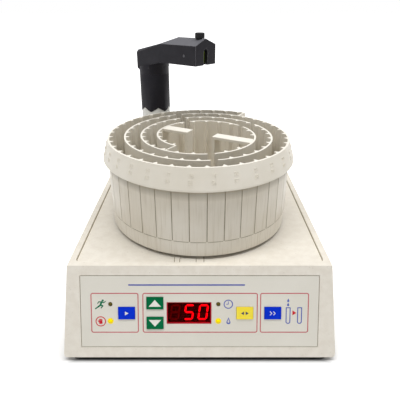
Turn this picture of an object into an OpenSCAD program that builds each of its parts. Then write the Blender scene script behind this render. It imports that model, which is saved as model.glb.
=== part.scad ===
// Fraction collector: a spiral tube rack turns on a sloped-front case, and a
// swinging arm on a column holds the outlet tube over the lanes.
// Millimetres, +Z up, front towards -Y, origin under the middle of the case.

/* [Case] */
// Width of the case along its bottom edge
case_w = 241; // [238:1:270]
// Width of the case along its top edge
case_top_w = 231; // [228:1:238]
// Depth of the case along its bottom edge
case_d = 272; // [268:1:300]
// Height of the case without its feet
case_h = 78; // [76:1:90]
// Lean of the front face from upright, in degrees
front_tilt = 20; // [16:1:22]
// Thickness of the moulded case walls
wall = 3; // [2.6:0.1:3.4]
// Width of the raised rail round the top
rail_w = 5.5; // [4:0.5:8]
// Height of the rail above the top surface
rail_h = 1.5; // [1:0.25:2]
// Height of the rubber feet
foot_h = 4; // [3.5:0.5:7]
// Radius of a rubber foot
foot_r = 8; // [6:0.5:9]
// Thickness of the bottom pan
pan_t = 2.5; // [2:0.25:3]

/* [Front panel] */
// Width of the overlay that fills the front recess
overlay_w = 209; // [205:1:214]
// Height of the overlay along the slope
overlay_h = 64.6; // [62:0.2:66]
// Distance of the overlay's top edge from the front's top edge
overlay_top = 8.8; // [7:0.2:9]
// Thickness of the overlay
overlay_t = 1; // [0.8:0.1:1.2]
// Width of a key
key_w = 14.5; // [13:0.1:15]
// Height of a key along the slope
key_h = 10.8; // [9.8:0.1:11.2]
// Height of a key above the overlay
key_proud = 0.8; // [0.7:0.1:1]
// Travel of a key when it is pressed
key_travel = 0.6; // [0.4:0.1:0.6]
// Clear gap round a key
key_gap = 0.3; // [0.2:0.05:0.4]
// Width of the display window
window_w = 39.3; // [38:0.1:40]
// Height of the display window along the slope
window_h = 19.5; // [19:0.1:20.5]
// Radius of an indicator lamp
lamp_r = 1.75; // [1.5:0.05:2]

/* [Rack] */
// Distance from one turn of the spiral to the next
lane_pitch = 16; // [15.6:0.1:16]
// Radius of the wall's first half turn
spiral_r = 94.3; // [93:0.1:94.3]
// Thickness of the rack's walls
rack_wall = 1.8; // [1.6:0.1:2]
// Height of the rack from its bottom edge to its rim
rack_h = 84.5; // [80:0.5:88]
// Gap between the rail and the rack's bottom edge
rack_gap = 2; // [1.5:0.25:3]
// Height of the smooth skirt under the rim
collar_h = 20.2; // [18:0.2:24]
// How far the skirt stands out at its lower edge
collar_flare = 5.5; // [4:0.25:5.5]
// Height of the plain band along the rack's bottom edge
band_h = 14; // [12:0.5:18]
// Distance along a wall from one tube pocket to the next
pocket_pitch = 15.2; // [14.6:0.1:16]
// Length of the ribs that part the pockets
rib_l = 3.6; // [2.5:0.1:4]
// Thickness of the rack's floor
floor_t = 2; // [1.8:0.1:3]
// Height of the floor above the rack's bottom edge
floor_lift = 6; // [5.5:0.25:8]
// Width of a lifting grip
grip_w = 12; // [10:0.5:14]
// Thickness of a grip's bar and leg
grip_t = 3; // [2.5:0.25:4]
// Clear space between the two grips
grip_gap = 28; // [24:1:34]
// Width of the notches cut down from the rim
notch_w = 6.5; // [5:0.5:7]
// Depth of the notches below the rim
notch_d = 24; // [18:1:30]

/* [Column and arm] */
// Radius of the column's sleeve
sleeve_r = 17.3; // [16.5:0.1:17.5]
// Height of the sleeve's top above the rack's rim
sleeve_top = 41; // [39:0.5:46]
// Height of the teeth between sleeve and post
tooth_h = 5; // [4:0.25:6]
// Number of teeth round the column
tooth_n = 6; // [5:1:8]
// Length of the arm from the column's axis to its tip
arm_l = 83.5; // [78:0.5:84]
// Width of the arm
arm_w = 30; // [28:0.5:32]
// Height of the arm's sides
arm_h = 20; // [19:0.5:22]
// Rise of the arm from its root to its tip
arm_rise = 11; // [10:0.25:12]
// Height of the roof ridge above the arm's sides
roof_h = 6.4; // [5:0.2:8]
// Width of the slot in the arm's tip
slot_w = 6; // [5.8:0.1:6.4]
// Radius of the thumb screw's knob
knob_r = 5; // [4.5:0.25:6]
// Bore of the drop former, for the outlet tube
former_bore_r = 1.7; // [1.5:0.05:1.9]

/* [Drive] */
// Size of the gear teeth
gear_module = 1; // [0.95:0.01:1]
// Teeth on the large gear
gear_teeth = 60; // [54:6:60]
// Teeth on the pinion
pinion_teeth = 12; // [12:1:14]
// Radius of the rack's spindle
spindle_r = 6; // [5:0.5:7]
// Radius of the turntable under the rack
turntable_r = 34; // [32:1:40]

/* [Clearances] */
// Radial clearance of shafts in their bores
run_fit = 0.05; // [0.03:0.01:0.08]
// Gap round pieces that lift off or swing past
loose_fit = 0.3; // [0.25:0.05:0.4]
// Gap between pieces that are screwed together
seat_fit = 0.1; // [0.05:0.05:0.15]

/* [Hidden] */
$fn = 72;
eps = 0.01;
lap = 0.4;                                  // overlap that joins one solid's shapes

// case
case_z = foot_h;
case_top = case_z + case_h;
deck_z = case_top - rail_h;                 // the recessed top surface
deck_under = deck_z - wall;
half_d = case_d / 2;
front_top_y = -half_d + case_h * tan(front_tilt);
side_slope = (case_w - case_top_w) / 2 / case_h;
rail_round = 6;
side_cut = [2.2, 3];                        // rounded edge along each side's foot
side_mid = [0.66, 1.2];                     // where the round's two facets meet
inner_cut = 0.001;                          // the inside keeps its square edge
pan_gap = 0.2;
boss_r = 4.5;
screw_r = 1.5;
screw_hole_r = screw_r + run_fit;
screw_head_r = 3;
screw_head_h = 1.8;
pan_screw_in = [34, 18];                    // from the case's sides and its back
pan_screw_x = case_w / 2 - pan_screw_in[0];
pan_screw_y = half_d - pan_screw_in[1];
pan_front_in = 30;                          // front screws sit behind the control board
pan_screw_l = 14;
foot_in = [5, 6];                           // from the case's sides and its back
foot_x = case_w / 2 - foot_r - foot_in[0];
foot_y = half_d - foot_r - foot_in[1];
foot_front_out = 4;                         // front feet stand nearer the case's edge
foot_plug_r = 3;
vent_l = 40;
vent_w = 3;
vent_pitch = 9;
recess_gap = 0.3;                           // round what lies in the front recess

// front panel: x, distance down the slope
recess_d = overlay_t + 0.2;
panel_mid = overlay_top + overlay_h / 2;
row_up = panel_mid - 7.6;
row_mid = panel_mid + 1.4;
row_down = panel_mid + 10.4;
key_flange = 1;
key_flange_t = 1;
key_stem_r = 2.5;
key_slack = 0.2;                            // above the flange and the switch
flange_z = -recess_d - key_slack;
run_pos = [-64.2, row_mid];
up_pos = [-39.3, row_up];
down_pos = [-39.3, row_down];
mode_pos = [39.7, row_mid];
advance_pos = [64.3, row_mid];
KEYS = [run_pos, up_pos, down_pos, mode_pos, advance_pos];
window_pos = [-9.3, row_mid];
lit_lamps = [[-78.4, panel_mid + 8.6], [16.4, panel_mid + 8.6]];
dark_lamps = [[-78.4, panel_mid - 6.6], [16.4, panel_mid - 6.6]];
board_w = overlay_w - 19;
board_h = overlay_h - 10.6;
board_t = 1.6;
board_drop = 11.5;                          // face of the board behind the front face
board_hole_in = 5;
board_hole = [board_w / 2 - board_hole_in, board_h / 2 - board_hole_in];
board_boss_r = 3.5;
board_screw_r = 1.25;
switch_side = 6;
switch_h = 3.5;
switch_face = -board_drop + switch_h;
lamp_gap = 0.2;
lamp_body = 7.5;
lead_w = 0.5;
module_w = window_w - 2.4;
module_h = window_h - 2.4;
digit_t = 0.3;
digit_gap = 1.4;                            // air between the digits and the window
digit_h = 12.6;
digit_w = 7;
digit_pitch = 12.4;
segment_w = 1.5;
digit_slant = 8;

// plate let into the deck in front of the rack, with the sensor under it
index_w = 26.8;
index_d = 10.6;
index_t = 1;
index_proud = 0.3;
mark_x = [-7.7, 7.6];
mark_y = 3.2;
mark_r = 0.9;
sensor_w = 16;
sensor_d = 8;
sensor_h = 6;

// rear panel: z is measured out of its plate's face
rear_w = 158;
rear_h = 52;
rear_t = 2;
rear_in = 4.2;                              // the plate's face behind the case's back
rear_ledge = 5;
rear_frame = 4;
rear_low = 3;                               // plate's middle below the case's
rear_z = case_z + case_h / 2 - rear_low;
rear_gap = 0.2;
jack_x = -50;
jack_r = 5.5;
jack_bore_r = 2.85;
jack_depth = 10;
jack_l = 14;
socket_x = -12;
socket_r = 8;
socket_l = 12;
socket_groove = [6.6, 5];                   // radii of the plug's groove
socket_pin_r = 0.6;
socket_pin_off = 3.2;
rim_t = 1.2;                                // rims of the jack and the socket
rim_out = 1.5;
rocker_x = 40;
bezel_w = 27;
bezel_h = 19;
bezel_t = 1.5;
bezel_lip = 2;
bezel_depth = 16;
rocker_w = 17.8;
rocker_h = 11;
rocker_top = 3.2;
rocker_low = 6;
rocker_tilt = 9;
rocker_room = 1.2;
pivot_z = -3;
pivot_r = 1;
pivot_l = 1.6;

index_x = -9.3;
index_y = front_top_y + rail_w + index_d / 2;

// rack
rack_z = case_top + rack_gap;
rim_z = rack_z + rack_h;
floor_z = rack_z + floor_lift;
floor_top = floor_z + floor_t;
spiral_start = 59;                          // line on which the half turns join, in degrees
spiral_off = 2.2;                           // spiral's pole from the rack's axis
arc_step = lane_pitch / 4;
inner_end = 177;                            // angles here are counted from that line
half_wall = rack_wall / 2;
rib_root = 4.6;
rib_tip = 0.3;
rib_phase = 0.51;
facet = 4;                                  // degrees from one point of a wall to the next
liner = 0.1;                                // ribbed face in front of the rim wall's round one
grip_angle = -87.5;
grip_shift = -2;
notch_angles = [50, 219, -24];
drum_skin = 0.5;                            // panels stand this far off the wall's line
pilot_r = 8.7;
pilot_h = 3.5;
dog_r = 2.2;
dog_off = 22;
dog_angle = spiral_start + grip_angle + 90;
dog_proud = 3;
end_turn = 1.3;                             // an end wall's thickness, in degrees
end_clear = 3;                              // no rib this near a half turn's end, in degrees
grip_clear = 16;                            // nor this near a grip
lip_z = [2.2, 1.1, 0.3];                    // round lower edge of the skirt
lip_in = [0, 0.1, -0.5, -1.4];

// column: it keeps its place at the case's back, and the rack stands clear of it
column_x = -53.82;
column_back = 27.44;
column_gap = 2.2;                           // between the rack's skirt and the sleeve
column_y = half_d - column_back;
arc_off = [spiral_off, 0] + arc_step * [cos(spiral_start), sin(spiral_start)];
rack_reach = norm(arc_off) + spiral_r + half_wall + collar_flare;
column_off = rack_reach + column_gap + sleeve_r;
rack_y = column_y - sqrt(pow(column_off, 2) - pow(column_x, 2));

// post and arm
post_r = sleeve_r - loose_fit;
spigot_r = 13;
post_bore = 7;
journal_r = 12;
post_bush_r = journal_r + 4;
post_flange_r = journal_r + 9;
post_flange_z = case_top + 1;
post_bush_l = 20;                           // below the deck
post_bush_low = deck_under - post_bush_l;
washer_r = journal_r + 3;
washer_t = 1.3;
clip_w = 2.5;
clip_t = 0.9;
clip_gap = 0.1;
post_clip_z = post_bush_low - washer_t - clip_t - 2 * clip_gap;
groove_d = 1;
crown_drop = 2.5;                           // teeth's foot below the rack's rim
crown_z = rim_z - crown_drop;
sleeve_z = rim_z + sleeve_top;
tooth_turn = 360 / tooth_n;
tooth_flat = 0.8;                           // blunt points between the teeth
tooth_w = 2 * sleeve_r * sin(tooth_turn / 2) - tooth_flat;
tooth_phase = -75;                          // one tooth's point, seen from above
arm_angle = -44;
arm_back = 15;
arm_bend = 28;
arm_z = sleeve_z + 6;
plug_l = 8;                                 // how far the arm reaches into its sleeve
spigot_top = sleeve_z - plug_l - 2;
pin_r = 1.5;
pin_z = sleeve_z - plug_l / 2;
pin_turn = -46;                             // from straight across the arm
saddle_h = 4.5;                             // from the arm's square root to the round sleeve
saddle_side = 1;
saddle_x = 9;
saddle_turn = 180 / 8;
slice = 0.02;                               // thin slice that a hull grows from
root_drop = 1;
bend_cut = 0.5;
arm_half = arm_w / 2;
arm_tip_z = arm_z + arm_rise;
end_rise = 1.5;                             // the last stretch rises only this much
arm_bend_z = arm_tip_z - end_rise;
arm_lean = atan((arm_bend_z - arm_z) / (arm_bend + arm_back));
ridge_start = arm_bend + 15;
ridge_start_z = arm_bend_z + (ridge_start - arm_bend) * end_rise / (arm_l - arm_bend);
edge_cut = 2.5;
slot_l = 15;
slot_top = arm_tip_z + arm_h - 4;
screw_in = 8.5;                             // from the arm's tip
screw_x = arm_l - screw_in;
thumb_r = 2;
knob_h = 5.5;
knob_sink = 0.4;                            // into the ridge
knob_z = arm_tip_z + arm_h + roof_h - knob_sink;
former_l = 8;
former_x = screw_x - former_l / 2;
former_z = arm_tip_z + 1.5;
former_h = slot_top - former_z - 2.5;
sensor_t = 2;
side_in = 17.5;                             // from the arm's tip
side_x = arm_l - side_in;
side_z = arm_tip_z + 0.45 * arm_h;
side_r = 1.2;
side_l = 8;

// drive
gear_r = gear_module * gear_teeth / 2;
pinion_r = gear_module * pinion_teeth / 2;
mesh_gap = 0.1;
motor_x = gear_r + pinion_r + mesh_gap;
gear_t = 8 * gear_module;
gear_hub = 4 * gear_module;
gear_room = 2 * wall;                       // above and below the gear's hub
gear_z = deck_under - gear_room - gear_hub - gear_t;
plate_z = gear_z - gear_hub - gear_room;
plate_t = 2;
motor_r = 3 * spindle_r;
motor_h = 32;
plate_x = [-gear_r - 4, motor_x + motor_r + 8];
plate_y = gear_r + 2;
plate_post_in = [5, 6];
shaft_r = 2.5;
turntable_z = case_top + loose_fit;          // underside of its hub
hub_step = 1.8;
turntable_disc_z = turntable_z + hub_step;
turntable_gap = 0.2;                        // below the rack's floor
turntable_top = floor_z - turntable_gap;
hub_wall = 6;
grip_fit = 0.02;                            // pieces held fast on a shaft
bush_wall = 5;
lower_bush_wall = 3;
bush_flange = 1.5;
spindle_clip_z = plate_z - plate_t - 1.5;
spindle_end = 4.5;                          // below the clip's groove
spindle_low = spindle_clip_z - spindle_end;
web_hole_r = 4;
web_hole_off = 0.62 * gear_r;
plate_post_r = 3.5;
plate_screw_l = 12;
motor_nose_r = 5.8;
motor_nose_h = 3;
shaft_in = 11;
shaft_out = 4;
centre_screw_l = 13;
centre_head_r = 3.5;
centre_head_h = 2.5;
screw_slot = [1, 5];

// ---- frames ----

// child's x across, y up the slope, z out of the front face
module on_face(pos = [0, 0]) {
  translate([0, front_top_y, case_top])
    rotate([90 - front_tilt, 0, 0])
      translate([pos[0], -pos[1], 0])
        children();
}

module at_rack() {
  translate([0, rack_y, 0]) children();
}

module at_column() {
  translate([column_x, column_y, 0]) children();
}

module on_arm() {
  at_column() rotate([0, 0, arm_angle]) children();
}

// box centred in x and y, between two heights
module slab(w, d, z0, z1) {
  translate([-w / 2, -d / 2, z0]) cube([w, d, z1 - z0]);
}

module tube(r_out, r_in, z0, z1) {
  translate([0, 0, z0])
    difference() {
      cylinder(r = r_out, h = z1 - z0);
      translate([0, 0, -1]) cylinder(r = r_in, h = z1 - z0 + 2);
    }
}

module rod(r, z0, z1) {
  translate([0, 0, z0]) cylinder(r = r, h = z1 - z0);
}

// rectangle with round corners
module round_rect(w, h, r) {
  square([w - 2 * r, h], center = true);
  square([w, h - 2 * r], center = true);
  for (x = [-1, 1], y = [-1, 1])
    translate([x * (w / 2 - r), y * (h / 2 - r)]) circle(r = r, $fn = 32);
}

// ---- case ----

// the case's outline, drawn in by t on every side but the bottom
module case_block(t, bottom) {
  slant = t / cos(front_tilt);
  low = -half_d - (bottom < case_z ? (case_z - bottom) * tan(front_tilt) : 0);
  top = case_top - t;
  front_at_top = front_top_y - t * tan(front_tilt) + slant;
  half_top = case_top_w / 2 - t + t * side_slope;
  half_low = case_w / 2 - t + (case_z - bottom) * side_slope;
  share = t == 0 ? 1 : inner_cut;
  cut = share * side_cut;
  mid = share * side_mid;
  intersection() {
    rotate([90, 0, 90])
      translate([0, 0, -case_w])
        linear_extrude(2 * case_w)
          polygon([
            [low + slant, bottom], [half_d - t, bottom],
            [half_d - t, top], [front_at_top, top]
          ]);
    rotate([90, 0, 0])
      translate([0, 0, -case_d])
        linear_extrude(2 * case_d)
          polygon([
            [-half_low + cut[0], bottom], [half_low - cut[0], bottom],
            [half_low - mid[0], bottom + mid[1]], [half_low - side_slope * cut[1], bottom + cut[1]],
            [half_top, top], [-half_top, top],
            [-half_low + side_slope * cut[1], bottom + cut[1]], [-half_low + mid[0], bottom + mid[1]]
          ]);
  }
}

module at_rear(x = 0) {
  translate([x, half_d - rear_in, rear_z]) rotate([-90, 0, 0]) children();
}

module pan_bosses() {
  for (x = [-1, 1], y = [-1, 1])
    translate([x * pan_screw_x, y * pan_screw_y + (y < 0 ? pan_front_in : 0), 0]) children();
}

// square tube that carries the rear plate
module rear_frame_block() {
  at_rear()
    slab(rear_w + 2 * rear_frame, rear_h + 2 * rear_frame, -rear_t - wall, rear_in - wall + lap);
}

module case_shell() {
  color([0.92, 0.91, 0.87]) {
    difference() {
      union() {
        difference() {
          case_block(0, case_z);
          intersection() {
            case_block(wall, case_z - 2);
            translate([-case_w, -case_d, -1]) cube([2 * case_w, 2 * case_d, deck_under + 1]);
          }
        }
        rear_frame_block();
      }
      // recessed deck inside the rail
      translate([0, (front_top_y + half_d) / 2, deck_z])
        linear_extrude(rail_h + 1)
          round_rect(case_top_w - 2 * rail_w, half_d - front_top_y - 2 * rail_w, rail_round);
      // recess for the overlay, and what looks through it
      on_face([0, panel_mid])
        slab(overlay_w + 2 * recess_gap, overlay_h + 2 * recess_gap, -recess_d, 2);
      for (p = KEYS)
        on_face(p)
          slab(key_w + 3 * key_flange, key_h + 3 * key_flange, -2 * wall, 0);
      on_face(window_pos)
        slab(module_w + 2 * recess_gap, module_h + 2 * recess_gap, -2 * wall, 0);
      for (p = concat(lit_lamps, dark_lamps))
        on_face(p) rod(lamp_r + lamp_gap, -2 * wall, 0);
      // spindle, column and index plate
      at_rack() rod(spindle_r + bush_wall + seat_fit, deck_under - 1, case_top);
      at_column() rod(post_bush_r + seat_fit, deck_under - 1, case_top);
      translate([index_x, index_y, 0])
        slab(index_w + 2 * seat_fit, index_d + 2 * seat_fit, deck_z - index_t, case_top);
      // rear opening with a ledge for its plate
      at_rear() {
        slab(rear_w + 2 * rear_gap, rear_h + 2 * rear_gap, -rear_t, rear_in + 1);
        slab(rear_w - 2 * rear_ledge, rear_h - 2 * rear_ledge, -2 * wall, 1);
      }
      rear_holes() rod(screw_hole_r, -2 * wall, 1);
    }
    // bosses for the pan's screws
    pan_bosses() tube(boss_r, screw_hole_r, case_z + pan_t + seat_fit, deck_under + lap);
    // bosses for the control board
    board_posts()
      tube(board_boss_r, board_screw_r + run_fit, -board_drop + seat_fit, -wall + lap);
  }
}

module rear_holes() {
  for (x = [-1, 1], y = [-1, 1])
    at_rear()
      translate([x * (rear_w / 2 - rear_ledge), y * (rear_h - rear_ledge) / 2, 0])
        children();
}

module board_posts() {
  for (x = [-1, 1], y = [-1, 1])
    on_face([x * board_hole[0], panel_mid + y * board_hole[1]]) children();
}

module base_pan() {
  color([0.62, 0.61, 0.58])
    difference() {
      intersection() {
        case_block(wall + pan_gap, case_z - 2);
        translate([-case_w, -case_d, case_z]) cube([2 * case_w, 2 * case_d, pan_t]);
      }
      pan_bosses() rod(screw_r + loose_fit, 0, deck_z);
      feet_at() rod(foot_plug_r + run_fit, 0, deck_z);
      // vents
      for (i = [-4:4])
        translate([i * vent_pitch, vent_l, 0]) slab(vent_w, vent_l, 0, deck_z);
    }
}

module feet_at() {
  for (x = [-1, 1], y = [-1, 1])
    translate([x * foot_x, y * foot_y - (y < 0 ? foot_front_out : 0), 0]) children();
}

module feet() {
  color([0.08, 0.08, 0.08])
    feet_at() {
      rod(foot_r, 0, case_z);
      rod(foot_plug_r, case_z - eps, case_z + pan_t + 1);
    }
}

module pan_screws() {
  color([0.7, 0.7, 0.7])
    pan_bosses() {
      rod(screw_head_r, case_z - screw_head_h, case_z);
      rod(screw_r, case_z - eps, case_z + pan_screw_l);
    }
}

module index_plate() {
  color([0.9, 0.89, 0.85])
    translate([index_x, index_y, 0])
      difference() {
        slab(index_w, index_d, deck_z - index_t, deck_z + index_proud);
        for (x = mark_x)
          translate([x, mark_y, 0]) rod(mark_r, deck_under, case_top);
      }
}

// ---- front panel ----

module front_overlay() {
  color([0.83, 0.82, 0.78])
    difference() {
      on_face([0, panel_mid]) slab(overlay_w, overlay_h, -recess_d, -recess_d + overlay_t);
      for (p = KEYS)
        on_face(p) slab(key_w + 2 * key_gap, key_h + 2 * key_gap, -wall, 1);
      on_face(window_pos)
        slab(window_w + 2 * seat_fit, window_h + 2 * seat_fit, -wall, 1);
      for (p = concat(lit_lamps, dark_lamps))
        on_face(p) rod(lamp_r + lamp_gap, -wall, 1);
    }
}

module display_window() {
  color([0.35, 0.02, 0.03])
    on_face(window_pos) slab(window_w, window_h, -recess_d, -recess_d + overlay_t);
}

module display_module() {
  color([0.12, 0.03, 0.03])
    on_face(window_pos)
      slab(module_w, module_h, -board_drop, -recess_d - digit_gap - digit_t);
}

// one bar of a digit, pointed at both ends
module segment(l) {
  half = l / 2;
  w = segment_w / 2;
  polygon([[-half, 0], [-half + w, w], [half - w, w], [half, 0], [half - w, -w], [-half + w, -w]]);
}

// bars a to g as 1 or 0, in the usual order
module digit(bars) {
  half_w = digit_w / 2;
  half_h = digit_h / 2;
  bar = digit_w - 0.5;
  side = half_h - 0.5;
  place = [
    [0, half_h, 0], [half_w, half_h / 2, 90], [half_w, -half_h / 2, 90],
    [0, -half_h, 0], [-half_w, -half_h / 2, 90], [-half_w, half_h / 2, 90], [0, 0, 0]
  ];
  slant = tan(digit_slant);
  for (i = [0:6])
    if (bars[i] == 1)
      translate([place[i][0] + place[i][1] * slant, place[i][1]])
        rotate(place[i][2] == 0 ? 0 : 90 - digit_slant)
          segment(place[i][2] == 0 ? bar : side);
}

module digit_row(index, bars) {
  on_face(window_pos)
    translate([(index - 1) * digit_pitch, 0, -recess_d - digit_gap - digit_t])
      linear_extrude(digit_t) digit(bars);
}

module digits_lit() {
  color([1, 0.1, 0.2]) {
    digit_row(1, [1, 0, 1, 1, 0, 1, 1]);
    digit_row(2, [1, 1, 1, 1, 1, 1, 0]);
  }
}

module digit_unlit() {
  color([0.3, 0.03, 0.05])
    digit_row(0, [1, 1, 1, 1, 1, 1, 1]);
}

module lamp() {
  rod(lamp_r, -lamp_body, -recess_d);
  translate([0, 0, -recess_d])
    intersection() {
      sphere(r = lamp_r, $fn = 32);
      slab(4 * lamp_r, 4 * lamp_r, -eps, 2 * lamp_r);
    }
  rod(lamp_r + lamp_gap, -lamp_body - 1, -lamp_body + eps);
  for (x = [-lamp_r / 2, lamp_r / 2])
    translate([x, 0, 0]) slab(lead_w, lead_w, -board_drop, -lamp_body);
}

module lamps_lit() {
  color([1, 0.8, 0.1])
    for (p = lit_lamps) on_face(p) lamp();
}

module lamps_dark() {
  color([0.35, 0.3, 0.12])
    for (p = dark_lamps) on_face(p) lamp();
}

module key(pos) {
  on_face(pos) {
    slab(key_w, key_h, flange_z - eps, -recess_d + overlay_t + key_proud);
    slab(key_w + 2 * key_flange, key_h + 2 * key_flange, flange_z - key_flange_t, flange_z);
    rod(key_stem_r, switch_face + key_travel + key_slack, flange_z - key_flange_t + eps);
  }
}

module key_run() { color([0.1, 0.2, 0.75]) key(run_pos); }
module key_up() { color([0.05, 0.45, 0.28]) key(up_pos); }
module key_down() { color([0.05, 0.45, 0.28]) key(down_pos); }
module key_mode() { color([0.95, 0.87, 0.3]) key(mode_pos); }
module key_advance() { color([0.1, 0.2, 0.75]) key(advance_pos); }

module control_board() {
  color([0.1, 0.35, 0.2])
    difference() {
      on_face([0, panel_mid]) slab(board_w, board_h, -board_drop - board_t, -board_drop);
      board_posts() rod(board_screw_r + loose_fit, -2 * board_drop, 0);
    }
}

module key_switches() {
  color([0.15, 0.15, 0.15])
    for (p = KEYS)
      on_face(p) slab(switch_side, switch_side, -board_drop, switch_face);
}

module board_screws() {
  color([0.7, 0.7, 0.7])
    board_posts() {
      rod(2 * board_screw_r, -board_drop - board_t - screw_head_h, -board_drop - board_t);
      rod(board_screw_r, -board_drop - board_t - eps, -wall - 1);
    }
}

// ---- rear panel ----

module rear_plate() {
  color([0.35, 0.35, 0.36])
    difference() {
      at_rear() slab(rear_w, rear_h, -rear_t, 0);
      at_rear(jack_x) rod(jack_r + seat_fit, -wall, 1);
      at_rear(socket_x) rod(socket_r + seat_fit, -wall, 1);
      at_rear(rocker_x)
        slab(bezel_w - 2 * bezel_lip + rear_gap, bezel_h - 2 * bezel_lip + rear_gap, -wall, 1);
      rear_holes() rod(screw_r + rear_gap, -wall, 1);
    }
}

module rear_screws() {
  color([0.75, 0.75, 0.75])
    rear_holes() {
      rod(screw_head_r - 0.6, 0, screw_head_h / 2);
      rod(screw_r, -rear_t - wall + 0.5, eps);
    }
}

module power_jack() {
  color([0.1, 0.1, 0.1])
    at_rear(jack_x)
      difference() {
        union() {
          rod(jack_r, -jack_l, eps);
          rod(jack_r + rim_out, 0, rim_t);
          rod(jack_r + rim_out, -rear_t - 2 * rim_t, -rear_t);
        }
        rod(jack_bore_r, -jack_depth, rim_t + 1);
      }
}

module signal_socket() {
  color([0.55, 0.55, 0.57])
    at_rear(socket_x)
      difference() {
        union() {
          rod(socket_r, -socket_l, eps);
          rod(socket_r + rim_out, 0, rim_t);
        }
        tube(socket_groove[0], socket_groove[1], -1, rim_t + 1);
        for (a = [-90:45:90])
          rotate([0, 0, a])
            translate([socket_pin_off, 0, 0]) rod(socket_pin_r, -socket_l / 2, rim_t + 1);
      }
}

module switch_bezel() {
  color([0.08, 0.08, 0.08])
    at_rear(rocker_x)
      difference() {
        union() {
          slab(bezel_w, bezel_h, 0, bezel_t);
          slab(bezel_w - 2 * bezel_lip, bezel_h - 2 * bezel_lip, -bezel_depth, eps);
        }
        slab(rocker_w + 2 * rocker_room, rocker_h + 2 * loose_fit, -bezel_depth / 2, bezel_t + 1);
        translate([0, 0, pivot_z])
          rotate([90, 0, 0])
            rod(pivot_r + run_fit, -rocker_h / 2 - pivot_l, rocker_h / 2 + pivot_l);
      }
}

module rocker() {
  reach = rocker_h / 2 + pivot_l - loose_fit / 2;
  color([0.75, 0.1, 0.08])
    at_rear(rocker_x)
      translate([0, 0, pivot_z])
        rotate([0, rocker_tilt, 0])
          translate([0, 0, -pivot_z]) {
            intersection() {
              slab(rocker_w, rocker_h, -rocker_low, rocker_top);
              union() {
                for (s = [-1, 1])
                  rotate([0, s * rocker_tilt, 0])
                    slab(2 * rocker_w, rocker_h, -2 * rocker_low, 1);
              }
            }
            translate([0, 0, pivot_z]) rotate([90, 0, 0]) rod(pivot_r, -reach, reach);
          }
}

// ---- drive ----

// straight-flanked teeth, one tooth centred on +X
module gear_shape(teeth) {
  pitch_r = gear_module * teeth / 2;
  turn = 360 / teeth;
  flank = [[-0.3, -1.15], [-0.2, 0], [-0.1, 0.8], [0.1, 0.8], [0.2, 0], [0.3, -1.15]];
  polygon([
    for (i = [0:teeth - 1], p = flank)
      (pitch_r + p[1] * gear_module) * [cos((i + p[0]) * turn), sin((i + p[0]) * turn)]
  ]);
}

module plate_corners() {
  for (x = plate_x, y = [-1, 1])
    at_rack()
      translate([x - sign(x) * plate_post_in[0], y * (plate_y - plate_post_in[1]), 0])
        children();
}

module drive_plate() {
  color([0.7, 0.71, 0.72])
    difference() {
      at_rack()
        translate([plate_x[0], -plate_y, plate_z])
          cube([plate_x[1] - plate_x[0], 2 * plate_y, plate_t]);
      at_rack() rod(spindle_r + lower_bush_wall + seat_fit, 0, deck_z);
      at_rack() translate([motor_x, 0, 0]) rod(motor_nose_r + loose_fit, 0, deck_z);
      plate_corners() rod(screw_r + loose_fit, 0, deck_z);
    }
}

module plate_posts() {
  color([0.8, 0.75, 0.55])
    plate_corners() tube(plate_post_r, screw_hole_r, plate_z + plate_t, deck_under);
}

module plate_screws() {
  color([0.7, 0.7, 0.7])
    plate_corners() {
      rod(screw_head_r, plate_z - screw_head_h, plate_z);
      rod(screw_r, plate_z - eps, plate_z + plate_screw_l);
    }
}

module motor() {
  color([0.25, 0.25, 0.27])
    at_rack()
      translate([motor_x, 0, 0])
        difference() {
          union() {
            rod(motor_r, plate_z - motor_h, plate_z);
            rod(motor_nose_r, plate_z - eps, plate_z + motor_nose_h);
          }
          rod(shaft_r + run_fit, plate_z - shaft_in - 1, gear_z);
        }
}

module motor_shaft() {
  color([0.8, 0.8, 0.82])
    at_rack() translate([motor_x, 0, 0]) rod(shaft_r, plate_z - shaft_in, gear_z + gear_t + shaft_out);
}

module pinion() {
  color([0.85, 0.7, 0.35])
    at_rack()
      translate([motor_x, 0, gear_z - 0.5])
        rotate([0, 0, 180 + 180 / pinion_teeth])
          difference() {
            linear_extrude(gear_t + 1) gear_shape(pinion_teeth);
            rod(shaft_r + grip_fit, -1, gear_t + 2);
          }
}

module spindle_bush() {
  color([0.8, 0.65, 0.35])
    at_rack()
      difference() {
        union() {
          rod(spindle_r + bush_wall, deck_under - wall, deck_z + eps);
          rod(spindle_r + bush_wall + wall, deck_z, case_top);
        }
        rod(spindle_r + run_fit, 0, rim_z);
      }
}

module lower_bush() {
  low = plate_z - plate_t;
  high = plate_z + plate_t;
  color([0.8, 0.65, 0.35])
    at_rack()
      difference() {
        union() {
          rod(spindle_r + lower_bush_wall, low, high + eps);
          rod(spindle_r + bush_wall, high, high + bush_flange);
        }
        rod(spindle_r + run_fit, 0, rim_z);
      }
}

module spindle() {
  top = turntable_top - plate_t;
  color([0.78, 0.78, 0.8])
    at_rack()
      difference() {
        rod(spindle_r, spindle_low, top);
        tube(spindle_r + 1, spindle_r - groove_d, spindle_clip_z, spindle_clip_z + clip_t + 2 * clip_gap);
        rod(screw_r + run_fit, turntable_top - centre_screw_l - 2, rim_z);
      }
}

// open ring in a groove, between two heights
module clip(r, z) {
  difference() {
    tube(r + clip_w, r - groove_d + clip_gap, z, z + clip_t);
    translate([0, -r / 4, 0]) cube([2 * r, r / 2, rim_z]);
  }
}

module spindle_clip() {
  color([0.3, 0.3, 0.3])
    at_rack() clip(spindle_r, spindle_clip_z + clip_gap);
}

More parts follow.
